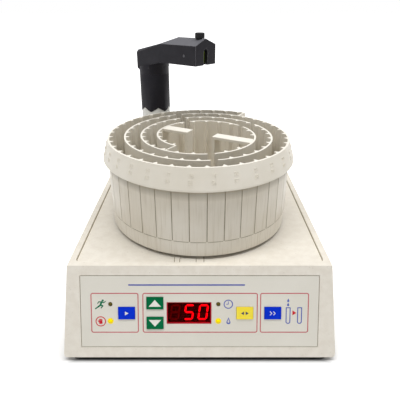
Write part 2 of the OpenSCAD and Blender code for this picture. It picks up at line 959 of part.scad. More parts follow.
module drive_gear() {
  color([0.88, 0.86, 0.78])
    at_rack()
      difference() {
        union() {
          translate([0, 0, gear_z]) linear_extrude(gear_t) gear_shape(gear_teeth);
          rod(spindle_r + bush_wall, gear_z - gear_hub, gear_z + gear_t + gear_hub);
        }
        rod(spindle_r + grip_fit, 0, rim_z);
        for (a = [0:60:300])
          rotate([0, 0, a]) translate([web_hole_off, 0, 0]) rod(web_hole_r, 0, rim_z);
      }
}

module dogs_at() {
  for (s = [-1, 1])
    at_rack() rotate([0, 0, dog_angle]) translate([s * dog_off, 0, 0]) children();
}

module turntable() {
  color([0.3, 0.3, 0.31])
    difference() {
      union() {
        at_rack() {
          rod(turntable_r, turntable_disc_z, turntable_top);
          rod(spindle_r + hub_wall, turntable_z, turntable_disc_z + eps);
          rod(pilot_r, turntable_top - eps, turntable_top + pilot_h);
        }
        dogs_at() rod(dog_r, turntable_top - eps, floor_top + dog_proud);
      }
      at_rack() rod(spindle_r + grip_fit, 0, turntable_top - plate_t);
      at_rack() rod(screw_r + run_fit, 0, rim_z);
    }
}

module turntable_screw() {
  seat = turntable_top + pilot_h;
  color([0.75, 0.75, 0.76])
    at_rack()
      difference() {
        union() {
          rod(centre_head_r, seat, seat + centre_head_h);
          rod(screw_r, turntable_top - centre_screw_l, seat + eps);
        }
        slab(screw_slot[0], screw_slot[1], seat + centre_head_h / 2, seat + 2 * centre_head_h);
      }
}

module rack_sensor() {
  color([0.12, 0.12, 0.14])
    translate([index_x, index_y, 0])
      slab(sensor_w, sensor_d, deck_under - sensor_h, deck_under);
}

// ---- rack ----

// half turn k of the spiral: its radius, first angle and pockets
function arc_r(k) = spiral_r - k * lane_pitch / 2;
function arc_side(k) = k % 2 == 0 ? 1 : -1;
function arc_start(k) = (k % 2) * 180;
function arc_pockets(k) = round(PI * arc_r(k) / pocket_pitch);
function rib_angle(k, j) = arc_start(k) + (j + rib_phase) * 180 / arc_pockets(k);
function off_grip(a, k) =
  k < 5 || abs((a - grip_angle + 900) % 180 - 90) < 90 - grip_clear;

// x along the line on which the half turns join
module at_spiral() {
  translate([spiral_off, rack_y, 0]) rotate([0, 0, spiral_start]) children();
}

module at_arc(k) {
  translate([arc_side(k) * arc_step, 0, 0]) children();
}

// sweep a profile from one angle to another about half turn k's centre
module sweep_arc(k, from, to) {
  at_arc(k)
    rotate([0, 0, from])
      rotate_extrude(angle = to - from, $fn = 180)
        translate([arc_r(k), 0])
          children();
}

module half_turn(k) {
  sweep_arc(k, arc_start(k), arc_start(k) + 180) children();
}

// point at radius r and angle a about half turn k's centre
function at(k, r, a) = [arc_side(k) * arc_step + r * cos(a), r * sin(a)];

// inner face of half turn k with its pointed ribs, from angle to down to from
function ribbed_face(k, r, from, to) = [
  for (j = [arc_pockets(k) - 1:-1:0])
    let (a = rib_angle(k, j), root = rib_root / 2 / r, tip = rib_tip / 2 / r, step = 45 / arc_pockets(k))
      if (a > from + end_clear && a < to - end_clear)
        each concat(
          off_grip(a, k) ? [
            at(k, r, a + root * 180 / PI), at(k, r - rib_l, a + tip * 180 / PI),
            at(k, r - rib_l, a - tip * 180 / PI), at(k, r, a - root * 180 / PI)
          ] : [at(k, r, a)],
          [for (q = [1:3]) if (a - q * step > from) at(k, r, a - q * step)]
        )
];

// wall of half turn k between two angles, with its ribs
module ribbed_wall(k, outer, inner, from, to, z0) {
  points = concat(
    [for (a = [from:facet:to - facet / 2]) at(k, outer, a)],
    [at(k, outer, to), at(k, inner, to)],
    ribbed_face(k, inner, from, to),
    [at(k, inner, from)]
  );
  translate([0, 0, z0]) linear_extrude(rim_z - z0) polygon(points);
}

module lane_wall(k, to) {
  ribbed_wall(k, arc_r(k) + half_wall, arc_r(k) - half_wall, arc_start(k), to, floor_top);
}

module collar_profile() {
  skirt_z = rim_z - collar_h;
  out = half_wall + collar_flare;
  polygon([
    [-half_wall, rack_z], [-half_wall, rim_z], [half_wall, rim_z],
    [out + lip_in[0], skirt_z + lip_z[0]], [out + lip_in[1], skirt_z + lip_z[1]],
    [out + lip_in[2], skirt_z + lip_z[2]], [out + lip_in[3], skirt_z],
    [half_wall + drum_skin, skirt_z],
    [half_wall + drum_skin, rack_z + band_h], [half_wall + 0.2, rack_z + band_h - 0.4],
    [half_wall, rack_z]
  ]);
}

module notches() {
  for (a = notch_angles)
    rotate([0, 0, a])
      translate([0, -notch_w / 2, rim_z - notch_d])
        cube([spiral_r, notch_w, notch_d + 1]);
}

// wall across the lane inside half turn k, from one angle on
module end_wall(k, from, z0) {
  outer = arc_r(k);
  inner = outer - lane_pitch + half_wall + seat_fit;
  to = from + end_turn;
  translate([0, 0, z0])
    linear_extrude(rim_z - z0)
      polygon([at(k, inner, from), at(k, outer, from), at(k, outer, to), at(k, inner, to)]);
}

module rack_rim_wall() {
  color([0.85, 0.82, 0.74])
    at_spiral() {
      for (k = [0, 1]) {
        half_turn(k) collar_profile();
        ribbed_wall(
          k, arc_r(k), arc_r(k) - half_wall - liner,
          arc_start(k), arc_start(k) + 180, floor_top
        );
      }
      end_wall(0, 0, rack_z);
    }
}

module rack_lane_outer() {
  color([0.85, 0.82, 0.74])
    at_spiral()
      difference() {
        for (k = [2, 3]) lane_wall(k, arc_start(k) + 180);
        notches();
      }
}

module rack_lane_inner() {
  color([0.85, 0.82, 0.74])
    at_spiral()
      difference() {
        union() {
          for (k = [4, 5]) lane_wall(k, arc_start(k) + 180);
          lane_wall(6, inner_end);
          end_wall(4, inner_end - end_turn, floor_top);
        }
        notches();
      }
}

module rack_floor() {
  edge = half_wall + seat_fit;
  color([0.8, 0.77, 0.69])
    difference() {
      at_spiral()
        difference() {
          for (k = [0, 1])
            at_arc(k)
              rotate([0, 0, arc_start(k)])
                translate([0, 0, floor_z])
                  rotate_extrude(angle = 180, $fn = 180)
                    square([arc_r(k) - edge, floor_t]);
          // round the foot of the lane's end wall
          at_arc(0)
            translate([arc_r(0) - lane_pitch + half_wall, -1, rack_z])
              cube([lane_pitch, rack_wall + 2, rack_h]);
        }
      at_rack() rod(pilot_r + loose_fit, 0, rim_z);
      dogs_at() rod(dog_r + loose_fit, 0, rim_z);
    }
}

module rack_grips() {
  color([0.88, 0.86, 0.79])
    at_spiral()
      for (s = [-1, 1]) {
        k = s < 0 ? 6 : 5;
        intersection() {
          at_arc(k) rod(arc_r(k) - half_wall - seat_fit, floor_top, rim_z);
          at_arc(0)
            rotate([0, 0, grip_angle])
              translate([grip_shift + s * grip_gap / 2, 0, 0])
                mirror([s < 0 ? 1 : 0, 0, 0]) {
                  translate([0, -grip_w / 2, rim_z - grip_t])
                    cube([spiral_r, grip_w, grip_t]);
                  translate([0, -grip_w / 2, floor_top])
                    cube([grip_t, grip_w, rim_z - floor_top]);
                }
        }
      }
}

// ---- column and arm ----

module post_bush() {
  color([0.85, 0.84, 0.8])
    at_column()
      difference() {
        union() {
          rod(post_bush_r, post_bush_low, deck_z + eps);
          rod(post_flange_r, deck_z, post_flange_z);
        }
        rod(journal_r + run_fit, 0, rim_z);
      }
}

// radial wedges that point up, one for each tooth
module crown_wedges(z) {
  half = tooth_w / 2;
  for (i = [0:tooth_n - 1])
    rotate([90, 0, tooth_phase + 90 + i * tooth_turn])
      translate([0, z, 0])
        linear_extrude(sleeve_r + 1)
          polygon([[-half - 1, -tooth_h / half], [0, tooth_h], [half + 1, -tooth_h / half]]);
}

module crown_post() {
  color([0.8, 0.79, 0.76])
    at_column()
      difference() {
        union() {
          rod(journal_r, post_clip_z - 2, post_flange_z + 1);
          rod(post_r, post_flange_z + loose_fit, crown_z);
          rod(spigot_r - run_fit, crown_z - 1, spigot_top);
          intersection() {
            tube(post_r, spigot_r - 1, crown_z - 1, crown_z + tooth_h + 1);
            crown_wedges(crown_z - loose_fit);
          }
        }
        rod(post_bore, 0, sleeve_z);
        tube(journal_r + 1, journal_r - groove_d, post_clip_z - clip_gap, post_clip_z + clip_t + clip_gap);
      }
}

module post_washer() {
  color([0.7, 0.7, 0.72])
    at_column()
      translate([0, 0, -clip_gap])
        tube(washer_r, journal_r + loose_fit, post_bush_low - washer_t, post_bush_low);
}

module post_clip() {
  color([0.3, 0.3, 0.3])
    at_column() clip(journal_r, post_clip_z);
}

module pin_hole() {
  rotate([90, 0, pin_turn])
    translate([0, pin_z, 0]) rod(pin_r + grip_fit, -2 * sleeve_r, 2 * sleeve_r);
}

module arm_sleeve() {
  color([0.14, 0.14, 0.16])
    at_column()
      difference() {
        tube(sleeve_r, spigot_r, crown_z, sleeve_z);
        crown_wedges(crown_z);
        rotate([0, 0, arm_angle]) pin_hole();
      }
}

// short pins from both sides, clear of the cable's bore
module arm_pins() {
  color([0.6, 0.6, 0.62])
    on_arm()
      for (s = [-1, 1])
        translate([0, 0, pin_z])
          rotate([s * 90, 0, pin_turn]) rod(pin_r, post_bore + 1, sleeve_r - loose_fit);
}

// upright rectangle across the arm at x, with its top corners cut
module arm_section(x, z, h, half_w, cut) {
  translate([x, 0, z])
    rotate([90, 0, 90])
      linear_extrude(slice)
        polygon([
          [-half_w, 0], [half_w, 0], [half_w, h - cut], [half_w - cut, h],
          [-half_w + cut, h], [-half_w, h - cut]
        ]);
}

module roof_section(x, z, h) {
  translate([x, 0, z])
    rotate([90, 0, 90])
      linear_extrude(slice)
        polygon([[-arm_half, 0], [arm_half, 0], [arm_half, h], [0, h + roof_h], [-arm_half, h]]);
}

// from the arm's underside at its root down to the round of its sleeve
module saddle() {
  wide = (sleeve_r - run_fit) * cos(saddle_turn);
  corner = wide * tan(saddle_turn);
  translate([-arm_back, 0, arm_z])
    rotate([0, -arm_lean, 0])
      translate([arm_back, 0, 0])
        hull() {
          translate([0, 0, -saddle_side])
            linear_extrude(saddle_side + lap)
              polygon([
                [saddle_x, -arm_half], [saddle_x, arm_half], [edge_cut - arm_back, arm_half],
                [-arm_back, arm_half - edge_cut], [-arm_back, edge_cut - arm_half],
                [edge_cut - arm_back, -arm_half]
              ]);
          translate([0, 0, -saddle_h])
            linear_extrude(eps)
              polygon([
                [saddle_x, -wide], [saddle_x, wide], [-corner, wide],
                [-wide, corner], [-wide, -corner], [-corner, -wide]
              ]);
        }
}

// round of the sleeve, up to the arm's sloping underside
module shoulder() {
  intersection() {
    rod(sleeve_r, sleeve_z, arm_z + arm_h / 2);
    translate([-arm_back, -arm_w, arm_z])
      rotate([0, -arm_lean, 0])
        translate([-arm_w, 0, -arm_h]) cube([3 * arm_w, 2 * arm_w, arm_h + lap]);
  }
}

module arm_body() {
  color([0.15, 0.15, 0.17])
    on_arm()
      difference() {
        union() {
          hull() {
            arm_section(-arm_back, arm_z, arm_h - root_drop, arm_half - edge_cut, edge_cut);
            arm_section(-arm_back + edge_cut, arm_z, arm_h, arm_half, edge_cut);
            arm_section(arm_bend, arm_bend_z, arm_h, arm_half, bend_cut);
          }
          hull() {
            arm_section(arm_bend, arm_bend_z, arm_h, arm_half, bend_cut);
            roof_section(ridge_start, ridge_start_z, arm_h);
            roof_section(arm_l, arm_tip_z, arm_h);
          }
          saddle();
          shoulder();
          rod(spigot_r - run_fit, sleeve_z - plug_l, sleeve_z + eps);
        }
        // bore for the cable, and the pins that lock the arm to its sleeve
        rod(post_bore, 0, arm_z + arm_h / 2);
        pin_hole();
        // slot in the tip, open below and in front, with a round top
        translate([arm_l - slot_l, -slot_w / 2, arm_z])
          cube([slot_l + 5, slot_w, slot_top - slot_w / 2 - arm_z]);
        translate([arm_l - slot_l, 0, slot_top - slot_w / 2])
          rotate([0, 90, 0]) rod(slot_w / 2, 0, slot_l + 5);
        translate([screw_x, 0, 0]) {
          rod(thumb_r + run_fit, slot_top - slot_w / 2, knob_z);
          rod(knob_r + loose_fit, knob_z - loose_fit, knob_z + knob_h);
        }
        side_hole();
      }
}

module side_hole() {
  translate([side_x, 0, side_z])
    rotate([90, 0, 0]) rod(side_r + run_fit, arm_half - side_l, arm_half + 1);
}

module side_screw() {
  color([0.75, 0.75, 0.78])
    on_arm()
      translate([side_x, 0, side_z])
        rotate([90, 0, 0]) rod(side_r, arm_half - side_l + seat_fit, arm_half - loose_fit);
}

module drop_former() {
  color([0.6, 0.7, 0.15])
    on_arm()
      difference() {
        translate([former_x, -slot_w / 2 + seat_fit, former_z])
          cube([former_l, slot_w - 2 * seat_fit, former_h]);
        translate([screw_x, 0, 0]) rod(former_bore_r, arm_z, rim_z + slot_top);
      }
}

module drop_sensor() {
  color([0.1, 0.45, 0.2])
    on_arm()
      translate([arm_l - slot_l + seat_fit, -slot_w / 2 + seat_fit, former_z + 0.5])
        cube([sensor_t, slot_w - 2 * seat_fit, former_h - 2]);
}

module thumb_screw() {
  color([0.12, 0.12, 0.13])
    on_arm()
      translate([screw_x, 0, 0]) {
        rod(knob_r, knob_z, knob_z + knob_h);
        rod(thumb_r, former_z + former_h + loose_fit, knob_z + eps);
      }
}

case_shell();
base_pan();
feet();
pan_screws();
index_plate();
front_overlay();
display_window();
display_module();
digits_lit();
digit_unlit();
lamps_lit();
lamps_dark();
key_run();
key_up();
key_down();
key_mode();
key_advance();
control_board();
key_switches();
board_screws();
rear_plate();
rear_screws();
power_jack();
signal_socket();
switch_bezel();
rocker();
drive_plate();
plate_posts();
plate_screws();
motor();
motor_shaft();
pinion();
spindle();
spindle_bush();
lower_bush();
drive_gear();
spindle_clip();
turntable();
turntable_screw();
rack_sensor();
rack_rim_wall();
rack_lane_outer();
rack_lane_inner();
rack_floor();
rack_grips();
post_bush();
crown_post();
post_washer();
post_clip();
arm_sleeve();
arm_body();
arm_pins();
side_screw();
drop_former();
drop_sensor();
thumb_screw();
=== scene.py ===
import math

import bpy
from mathutils import Matrix, Vector


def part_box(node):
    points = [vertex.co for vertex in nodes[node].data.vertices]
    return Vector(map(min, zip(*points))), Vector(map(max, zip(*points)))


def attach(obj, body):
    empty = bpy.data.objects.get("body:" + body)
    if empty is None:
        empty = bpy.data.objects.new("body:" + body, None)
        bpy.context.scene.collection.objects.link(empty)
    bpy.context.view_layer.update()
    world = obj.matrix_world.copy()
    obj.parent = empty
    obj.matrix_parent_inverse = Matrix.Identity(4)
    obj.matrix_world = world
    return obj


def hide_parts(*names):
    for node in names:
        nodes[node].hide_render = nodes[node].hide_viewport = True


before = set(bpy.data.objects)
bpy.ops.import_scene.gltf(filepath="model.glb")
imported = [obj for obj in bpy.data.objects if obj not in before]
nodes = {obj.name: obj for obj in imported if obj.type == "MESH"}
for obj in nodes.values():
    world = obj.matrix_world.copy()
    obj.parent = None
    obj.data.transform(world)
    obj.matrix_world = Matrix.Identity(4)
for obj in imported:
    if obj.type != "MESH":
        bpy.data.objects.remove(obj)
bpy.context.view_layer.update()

mm = 0.001
print("frame loaded:", len(nodes), "nodes")


# the camera looks down on the rack from in front of the case
cameraLook = {
    "place": (0.33, -421.84, 297.73),  # mm
    "tilt": 64.152,                    # degrees up from straight down
    "lens": 39.03,                     # mm, on the sensor below
    "sensor": 36,
    "nearest": 10,                     # mm
}


def makeCamera(look):
    data = bpy.data.cameras.new("camera")
    data.lens = look["lens"]
    data.sensor_width = look["sensor"]
    data.clip_start = look["nearest"] * mm
    camera = bpy.data.objects.new("camera", data)
    camera.location = Vector(look["place"]) * mm
    camera.rotation_euler = (math.radians(look["tilt"]), 0, 0)
    bpy.context.scene.collection.objects.link(camera)
    bpy.context.scene.camera = camera


makeCamera(cameraLook)
print("camera made")


def srgb(code):
    # sRGB hex to the linear values that the shader mixes
    channels = [int(code[i:i + 2], 16) / 255 for i in (0, 2, 4)]
    linear = [c / 12.92 if c <= 0.04045 else ((c + 0.055) / 1.055) ** 2.4 for c in channels]
    return (*linear, 1)


def addNode(tree, kind, values=None, **settings):
    node = tree.nodes.new("ShaderNode" + kind)
    for name, value in settings.items():
        setattr(node, name, value)
    for socket, value in (values or {}).items():
        if isinstance(value, bpy.types.NodeSocket):
            tree.links.new(value, node.inputs[socket])
        else:
            node.inputs[socket].default_value = value
    return node


def emptyMaterial(name):
    material = bpy.data.materials.new(name)
    material.use_nodes = True
    material.node_tree.nodes.clear()
    return material, material.node_tree


def noiseAt(tree, size, stretch=(1, 1, 1), detail=3, roughness=0.5):
    # noise whose spots are about size mm across, longer along an axis with a small stretch
    place = addNode(tree, "TexCoord")
    scaled = addNode(tree, "Mapping", {"Vector": place.outputs["Object"], "Scale": stretch})
    return addNode(tree, "TexNoise", {
        "Vector": scaled.outputs[0], "Scale": 1 / (size * mm),
        "Detail": detail, "Roughness": roughness,
    }).outputs["Fac"]


def layTone(tree, under, tone, value, low, high, most=1):
    # a tone laid over the colour under it: none of it at a low value, most of it at a high one
    share = addNode(tree, "MapRange", {0: value, 1: low, 2: high, 4: most})
    mixed = addNode(tree, "Mix", {0: share.outputs[0], 6: under, 7: srgb(tone)}, data_type="RGBA")
    return mixed.outputs[2]


def risenFrom(tree, start, end):
    # 0 at start mm above the table, 1 at end mm
    place = addNode(tree, "TexCoord").outputs["Object"]
    height = addNode(tree, "SeparateXYZ", {0: place}).outputs["Z"]
    return addNode(tree, "MapRange", {0: height, 1: start * mm, 2: end * mm}).outputs[0]


def paintedEdgeHighlightMask(tree, width, start):
    # a mask for a painted highlight on edges: at an edge a rounded normal leaves the face's own; it
    # counts from start mm up
    plain = addNode(tree, "NewGeometry").outputs["Normal"]
    rounded = addNode(tree, "Bevel", {"Radius": width * mm}).outputs[0]
    alike = addNode(tree, "VectorMath", {0: plain, 1: rounded}, operation="DOT_PRODUCT")
    apart = addNode(tree, "Math", {0: 1, 1: alike.outputs["Value"]}, operation="SUBTRACT").outputs[0]
    above = risenFrom(tree, start - 2, start)
    return addNode(tree, "Math", {0: apart, 1: above}, operation="MULTIPLY").outputs[0]


# where each layer of a finish starts and is full, and the most that it covers
toneSteps = {
    "blotch": (0.35, 0.65), "streak": (0.5, 0.72, 0.75), "speck": (0.7, 0.76, 0.7),
    "paintedCollarShadow": (0, 1, 0.9), "dustAndPaintedLight": (0.7, 0.95), "paintedEdgeHighlight": (0.03, 0.16, 0.8), "clouds": (0.3, 0.7),
}
unevenShine = {"moulded": 0.05, "metal": 0.06}  # how far roughness strays either way


def mouldedPlastic(name, look):
    # a toned, slightly uneven resin with the tool's grain in its skin; gleam 0.5 is a full sheen
    material, tree = emptyMaterial(name)
    blotches = noiseAt(tree, look["blotch"])
    colour = layTone(tree, srgb(look["base"]), look["tone"], blotches, *toneSteps["blotch"])
    if "streak" in look:
        draw = noiseAt(tree, look["streak"], look["along"], detail=4)
        below = risenFrom(tree, look["streakTop"], look["streakTop"] - 1)
        share = addNode(tree, "Math", {0: draw, 1: below}, operation="MULTIPLY").outputs[0]
        colour = layTone(tree, colour, look["streakTone"], share, *toneSteps["streak"])
    if "speck" in look:
        specks = noiseAt(tree, look["speck"], detail=1)
        colour = layTone(tree, colour, look["speckTone"], specks, *toneSteps["speck"])
    # painted shadow under the collar: a darker tone from the lower height up to the upper one
    if "paintedCollarShadow" in look:
        risen = risenFrom(tree, *look["paintedCollarShadowHeights"])
        colour = layTone(tree, colour, look["paintedCollarShadow"], risen, *toneSteps["paintedCollarShadow"])
    # painted highlight: a lighter tone on faces that point up
    if "dustAndPaintedLight" in look:
        normal = addNode(tree, "NewGeometry").outputs["Normal"]
        facingUp = addNode(tree, "SeparateXYZ", {0: normal}).outputs["Z"]
        colour = layTone(tree, colour, look["dustAndPaintedLight"], facingUp, *toneSteps["dustAndPaintedLight"])
    # painted highlight along edges, from a given height up
    if "paintedEdgeHighlight" in look:
        edges = paintedEdgeHighlightMask(tree, look["paintedEdgeHighlightWidth"], look["paintedEdgeHighlightFrom"])
        colour = layTone(tree, colour, look["paintedEdgeHighlight"], edges, *toneSteps["paintedEdgeHighlight"])
    grain = noiseAt(tree, look["grain"], detail=2, roughness=0.6)
    bump = addNode(tree, "Bump", {"Height": grain, "Distance": look["depth"] * mm, "Strength": 1})
    low, high = toneSteps["clouds"]
    shine = addNode(tree, "MapRange", {
        0: noiseAt(tree, look["blotch"] / 3), 1: low, 2: high,
        3: look["roughness"] - unevenShine["moulded"], 4: look["roughness"] + unevenShine["moulded"],
    })
    shader = addNode(tree, "BsdfPrincipled", {
        "Base Color": colour, "Roughness": shine.outputs[0], "IOR": look["ior"],
        "Normal": bump.outputs[0], "Specular IOR Level": look.get("gleam", 0.4),
    })
    addNode(tree, "OutputMaterial", {"Surface": shader.outputs[0]})
    return material


def metalFinish(name, look):
    # turned, brushed or plated metal: fine lines along one axis, uneven shine
    material, tree = emptyMaterial(name)
    lines = noiseAt(tree, look["line"], look["along"], detail=4)
    low, high = toneSteps["clouds"]
    colour = layTone(tree, srgb(look["base"]), look["tone"], lines, low, high)
    bump = addNode(tree, "Bump", {"Height": lines, "Distance": look["depth"] * mm, "Strength": 1})
    shine = addNode(tree, "MapRange", {
        0: lines, 1: low, 2: high,
        3: look["roughness"] - unevenShine["metal"], 4: look["roughness"] + unevenShine["metal"],
    })
    shader = addNode(tree, "BsdfPrincipled", {
        "Base Color": colour, "Metallic": 1, "Roughness": shine.outputs[0], "Normal": bump.outputs[0],
    })
    addNode(tree, "OutputMaterial", {"Surface": shader.outputs[0]})
    return material


def tintedPlastic(name, look):
    # clear resin with dye in it; its sheen takes the dye's own colour
    material, tree = emptyMaterial(name)
    clouds = noiseAt(tree, look["blotch"])
    colour = layTone(tree, srgb(look["base"]), look["tone"], clouds, *toneSteps["clouds"])
    shader = addNode(tree, "BsdfPrincipled", {
        "Base Color": colour, "Roughness": look["roughness"], "IOR": look["ior"],
        "Transmission Weight": look["clear"], "Specular IOR Level": look["gleam"],
        "Specular Tint": srgb(look["sheenTone"]),
    })
    addNode(tree, "OutputMaterial", {"Surface": shader.outputs[0]})
    return material


def glowingPlastic(name, look):
    # diffusing resin lit from inside, a little uneven
    material, tree = emptyMaterial(name)
    clouds = noiseAt(tree, look["blotch"])
    colour = layTone(tree, srgb(look["base"]), look["tone"], clouds, *toneSteps["clouds"])
    shader = addNode(tree, "BsdfPrincipled", {
        "Base Color": colour, "Roughness": look["roughness"], "IOR": look["ior"],
        "Specular IOR Level": look["gleam"],
        "Emission Color": colour, "Emission Strength": look["glow"],
    })
    addNode(tree, "OutputMaterial", {"Surface": shader.outputs[0]})
    return material


# pattern sizes are in mm; grain and tool lines are drawn a few times coarser than real ones, to show

# textured ABS, sprayed off-white: a fine spark-eroded grain with faint yellowing
caseAbs = mouldedPlastic("texturedAbsCase", {
    "base": "EBE5D9", "tone": "E5DED1", "blotch": 7, "speck": 1.6, "speckTone": "D6CFC1",
    "grain": 0.8, "depth": 0.09, "roughness": 0.52, "ior": 1.54,
})
# injection moulded polypropylene, yellowed: draw marks run down its walls, up to the collar, and a
# painted highlight lightens its up-facing faces
rackLook = {
    "base": "E9E3D6", "tone": "E3DCCD", "blotch": 35, "dustAndPaintedLight": "F0EBDF",
    "streak": 1.5, "along": (1, 1, 0.05), "streakTone": "D3CAB8", "streakTop": 148,
    "grain": 0.6, "depth": 0.03, "roughness": 0.46, "ior": 1.49,
}
rackPolypropylene = mouldedPlastic("mouldedPolypropyleneRack", rackLook)
# the same moulding in a darker copy, painted shade for the drum's panels, with a painted shadow just
# under the collar
panelPolypropylene = mouldedPlastic("shadedPolypropylenePanels", {
    **rackLook, "base": "E0D9CB", "tone": "DAD2C2", "streakTone": "CEC5B2",
    "paintedCollarShadow": "8E8573", "paintedCollarShadowHeights": (138, 147),
})
# polycarbonate film, screen printed, with a fine velvet face that shows no clear reflection
overlayFilm = mouldedPlastic("velvetPolycarbonateFilm", {
    "base": "E3DFD4", "tone": "DFDBCF", "blotch": 45, "grain": 0.5, "depth": 0.012,
    "roughness": 0.42, "ior": 1.58,
})
# glass filled nylon, moulded black: a grain that catches light, a painted highlight on its up-facing
# faces and a painted highlight along its upper edges
armNylon = mouldedPlastic("glassFilledNylonArm", {
    "base": "232227", "tone": "29282D", "blotch": 18, "speck": 0.9, "speckTone": "3C3B40",
    "grain": 0.7, "depth": 0.05, "roughness": 0.5, "ior": 1.53, "gleam": 0.1,
    "dustAndPaintedLight": "66666B", "paintedEdgeHighlight": "85848A", "paintedEdgeHighlightWidth": 0.9, "paintedEdgeHighlightFrom": 228,
})
# moulded acetal: a cool light grey with a soft waxy shine
postAcetal = mouldedPlastic("mouldedAcetalPost", {
    "base": "DFDED9", "tone": "D6D5CF", "blotch": 14, "grain": 0.6, "depth": 0.02,
    "roughness": 0.42, "ior": 1.48,
})
# moulded polystyrene: a dull, coarse grey
panPolystyrene = mouldedPlastic("mouldedPolystyrenePan", {
    "base": "C4C2BA", "tone": "BAB8AF", "blotch": 40, "grain": 1, "depth": 0.05,
    "roughness": 0.55, "ior": 1.59,
})
# moulded natural rubber: matt and dusty
footRubber = mouldedPlastic("mouldedRubberFeet", {
    "base": "1D1D1D", "tone": "2A2928", "blotch": 6, "grain": 0.9, "depth": 0.06,
    "roughness": 0.75, "ior": 1.52,
})
# moulded black ABS: smooth, with a weak even sheen
blackAbs = mouldedPlastic("mouldedBlackAbs", {
    "base": "1B1B1C", "tone": "232324", "blotch": 9, "grain": 0.6, "depth": 0.02,
    "roughness": 0.4, "ior": 1.54, "gleam": 0.2,
})
# moulded grey ABS: a plain satin skin
turntableAbs = mouldedPlastic("mouldedGreyAbsTurntable", {
    "base": "5B5B5C", "tone": "646465", "blotch": 20, "grain": 0.7, "depth": 0.03,
    "roughness": 0.5, "ior": 1.54,
})
# cut acetal: a warm white, smooth from the cutter
gearAcetal = mouldedPlastic("cutAcetalGear", {
    "base": "EDEADC", "tone": "E6E2D2", "blotch": 20, "grain": 0.5, "depth": 0.01,
    "roughness": 0.35, "ior": 1.48,
})
# powder coat baked on steel: an orange peel skin
rearPowderCoat = mouldedPlastic("powderCoatedSteelPlate", {
    "base": "6A6A6C", "tone": "727274", "blotch": 30, "grain": 1.2, "depth": 0.06,
    "roughness": 0.5, "ior": 1.52,
})
# sprayed enamel: smooth and half glossy
motorPaint = mouldedPlastic("sprayedMotorPaint", {
    "base": "4A4A4D", "tone": "515155", "blotch": 20, "grain": 0.8, "depth": 0.03,
    "roughness": 0.4, "ior": 1.52,
})
# solder mask printed on glass epoxy: glossy green
solderMask = mouldedPlastic("solderMaskOnGlassEpoxy", {
    "base": "1F5B36", "tone": "286A40", "blotch": 5, "grain": 1.5, "depth": 0.02,
    "roughness": 0.3, "ior": 1.55,
})
# domed polyester film, printed and lightly glossed
filmKeys = {"blotch": 8, "grain": 0.5, "depth": 0.008, "roughness": 0.34, "ior": 1.58, "gleam": 0.04}
blueFilm = mouldedPlastic("printedBlueFilm", {**filmKeys, "base": "0430CE", "tone": "0836D8"})
greenFilm = mouldedPlastic("printedGreenFilm", {**filmKeys, "base": "00693D", "tone": "007042"})
yellowFilm = mouldedPlastic("printedYellowFilm", {**filmKeys, "base": "FFE742", "tone": "FFEA50"})
# screen inks, laid a few hundredths of a millimetre thick: flat, matt colour
screenInk = {"blotch": 4, "grain": 0.4, "depth": 0.006, "roughness": 0.5, "ior": 1.5, "gleam": 0.2}
redLineInk = mouldedPlastic("screenInkRose", {**screenInk, "base": "C05A61", "tone": "C6666C"})
blueLineInk = mouldedPlastic("screenInkBlue", {**screenInk, "base": "3F55B0", "tone": "4A60B6"})
ruleInk = mouldedPlastic("screenInkRoyal", {**screenInk, "base": "2038A0", "tone": "2A42AA"})
greenInk = mouldedPlastic("screenInkGreen", {**screenInk, "base": "0C6B48", "tone": "15724F"})
redInk = mouldedPlastic("screenInkRed", {**screenInk, "base": "C81E2C", "tone": "D02A36"})
whiteInk = mouldedPlastic("screenInkWhite", {**screenInk, "base": "F1EFE8", "tone": "EAE8E0"})
greyInk = mouldedPlastic("screenInkGrey", {**screenInk, "base": "3D4258", "tone": "474C62"})
# dead matt dark strips: dust along the deck's rail, painted shade in the drum's grooves, under its
# panels, round the film's edge and in the index plate's marks
dustAndPaintedShade = mouldedPlastic("dustAndPaintedShadeInGrooves", {
    "base": "A39A86", "tone": "8F8671", "blotch": 7, "grain": 0.5, "depth": 0.02,
    "roughness": 0.85, "ior": 1.45,
})
# zinc plated steel: bright but cloudy
zincPlate = metalFinish("zincPlatedSteel", {
    "base": "B9BABC", "tone": "A6A8AB", "line": 0.6, "along": (1, 1, 1),
    "depth": 0.004, "roughness": 0.3,
})
# brushed steel: lines along X
brushedSteel = metalFinish("brushedSteelPlate", {
    "base": "B4B4B4", "tone": "A0A0A0", "line": 0.4, "along": (0.04, 1, 1),
    "depth": 0.004, "roughness": 0.36,
})
# ground steel: fine rings round the shaft
groundSteel = metalFinish("groundSteelShaft", {
    "base": "C4C4C6", "tone": "B4B4B7", "line": 0.3, "along": (0.1, 0.1, 1),
    "depth": 0.002, "roughness": 0.22,
})
# turned brass: rings from the tool
turnedBrass = metalFinish("turnedBrassBushes", {
    "base": "C9A75C", "tone": "B8934A", "line": 0.3, "along": (0.1, 0.1, 1),
    "depth": 0.003, "roughness": 0.28,
})
# spring steel, hardened and oiled: dark, with a soft shine
oiledSpringSteel = metalFinish("oiledSpringSteel", {
    "base": "5A5A5C", "tone": "4B4B4E", "line": 0.5, "along": (1, 1, 1),
    "depth": 0.003, "roughness": 0.35,
})
# nickel plated shell: drawn along its length, warm and bright
nickelPlate = metalFinish("nickelPlatedShell", {
    "base": "BDBCBA", "tone": "AFAEAC", "line": 0.4, "along": (1, 1, 0.2),
    "depth": 0.002, "roughness": 0.2,
})
# cast acrylic, dyed deep red and polished: hides all but lit digits
windowAcrylic = tintedPlastic("dyedAcrylicWindow", {
    "base": "E22A42", "tone": "DA243A", "blotch": 20, "roughness": 0.04, "ior": 1.49,
    "clear": 1, "gleam": 0, "sheenTone": "6A1010",
})
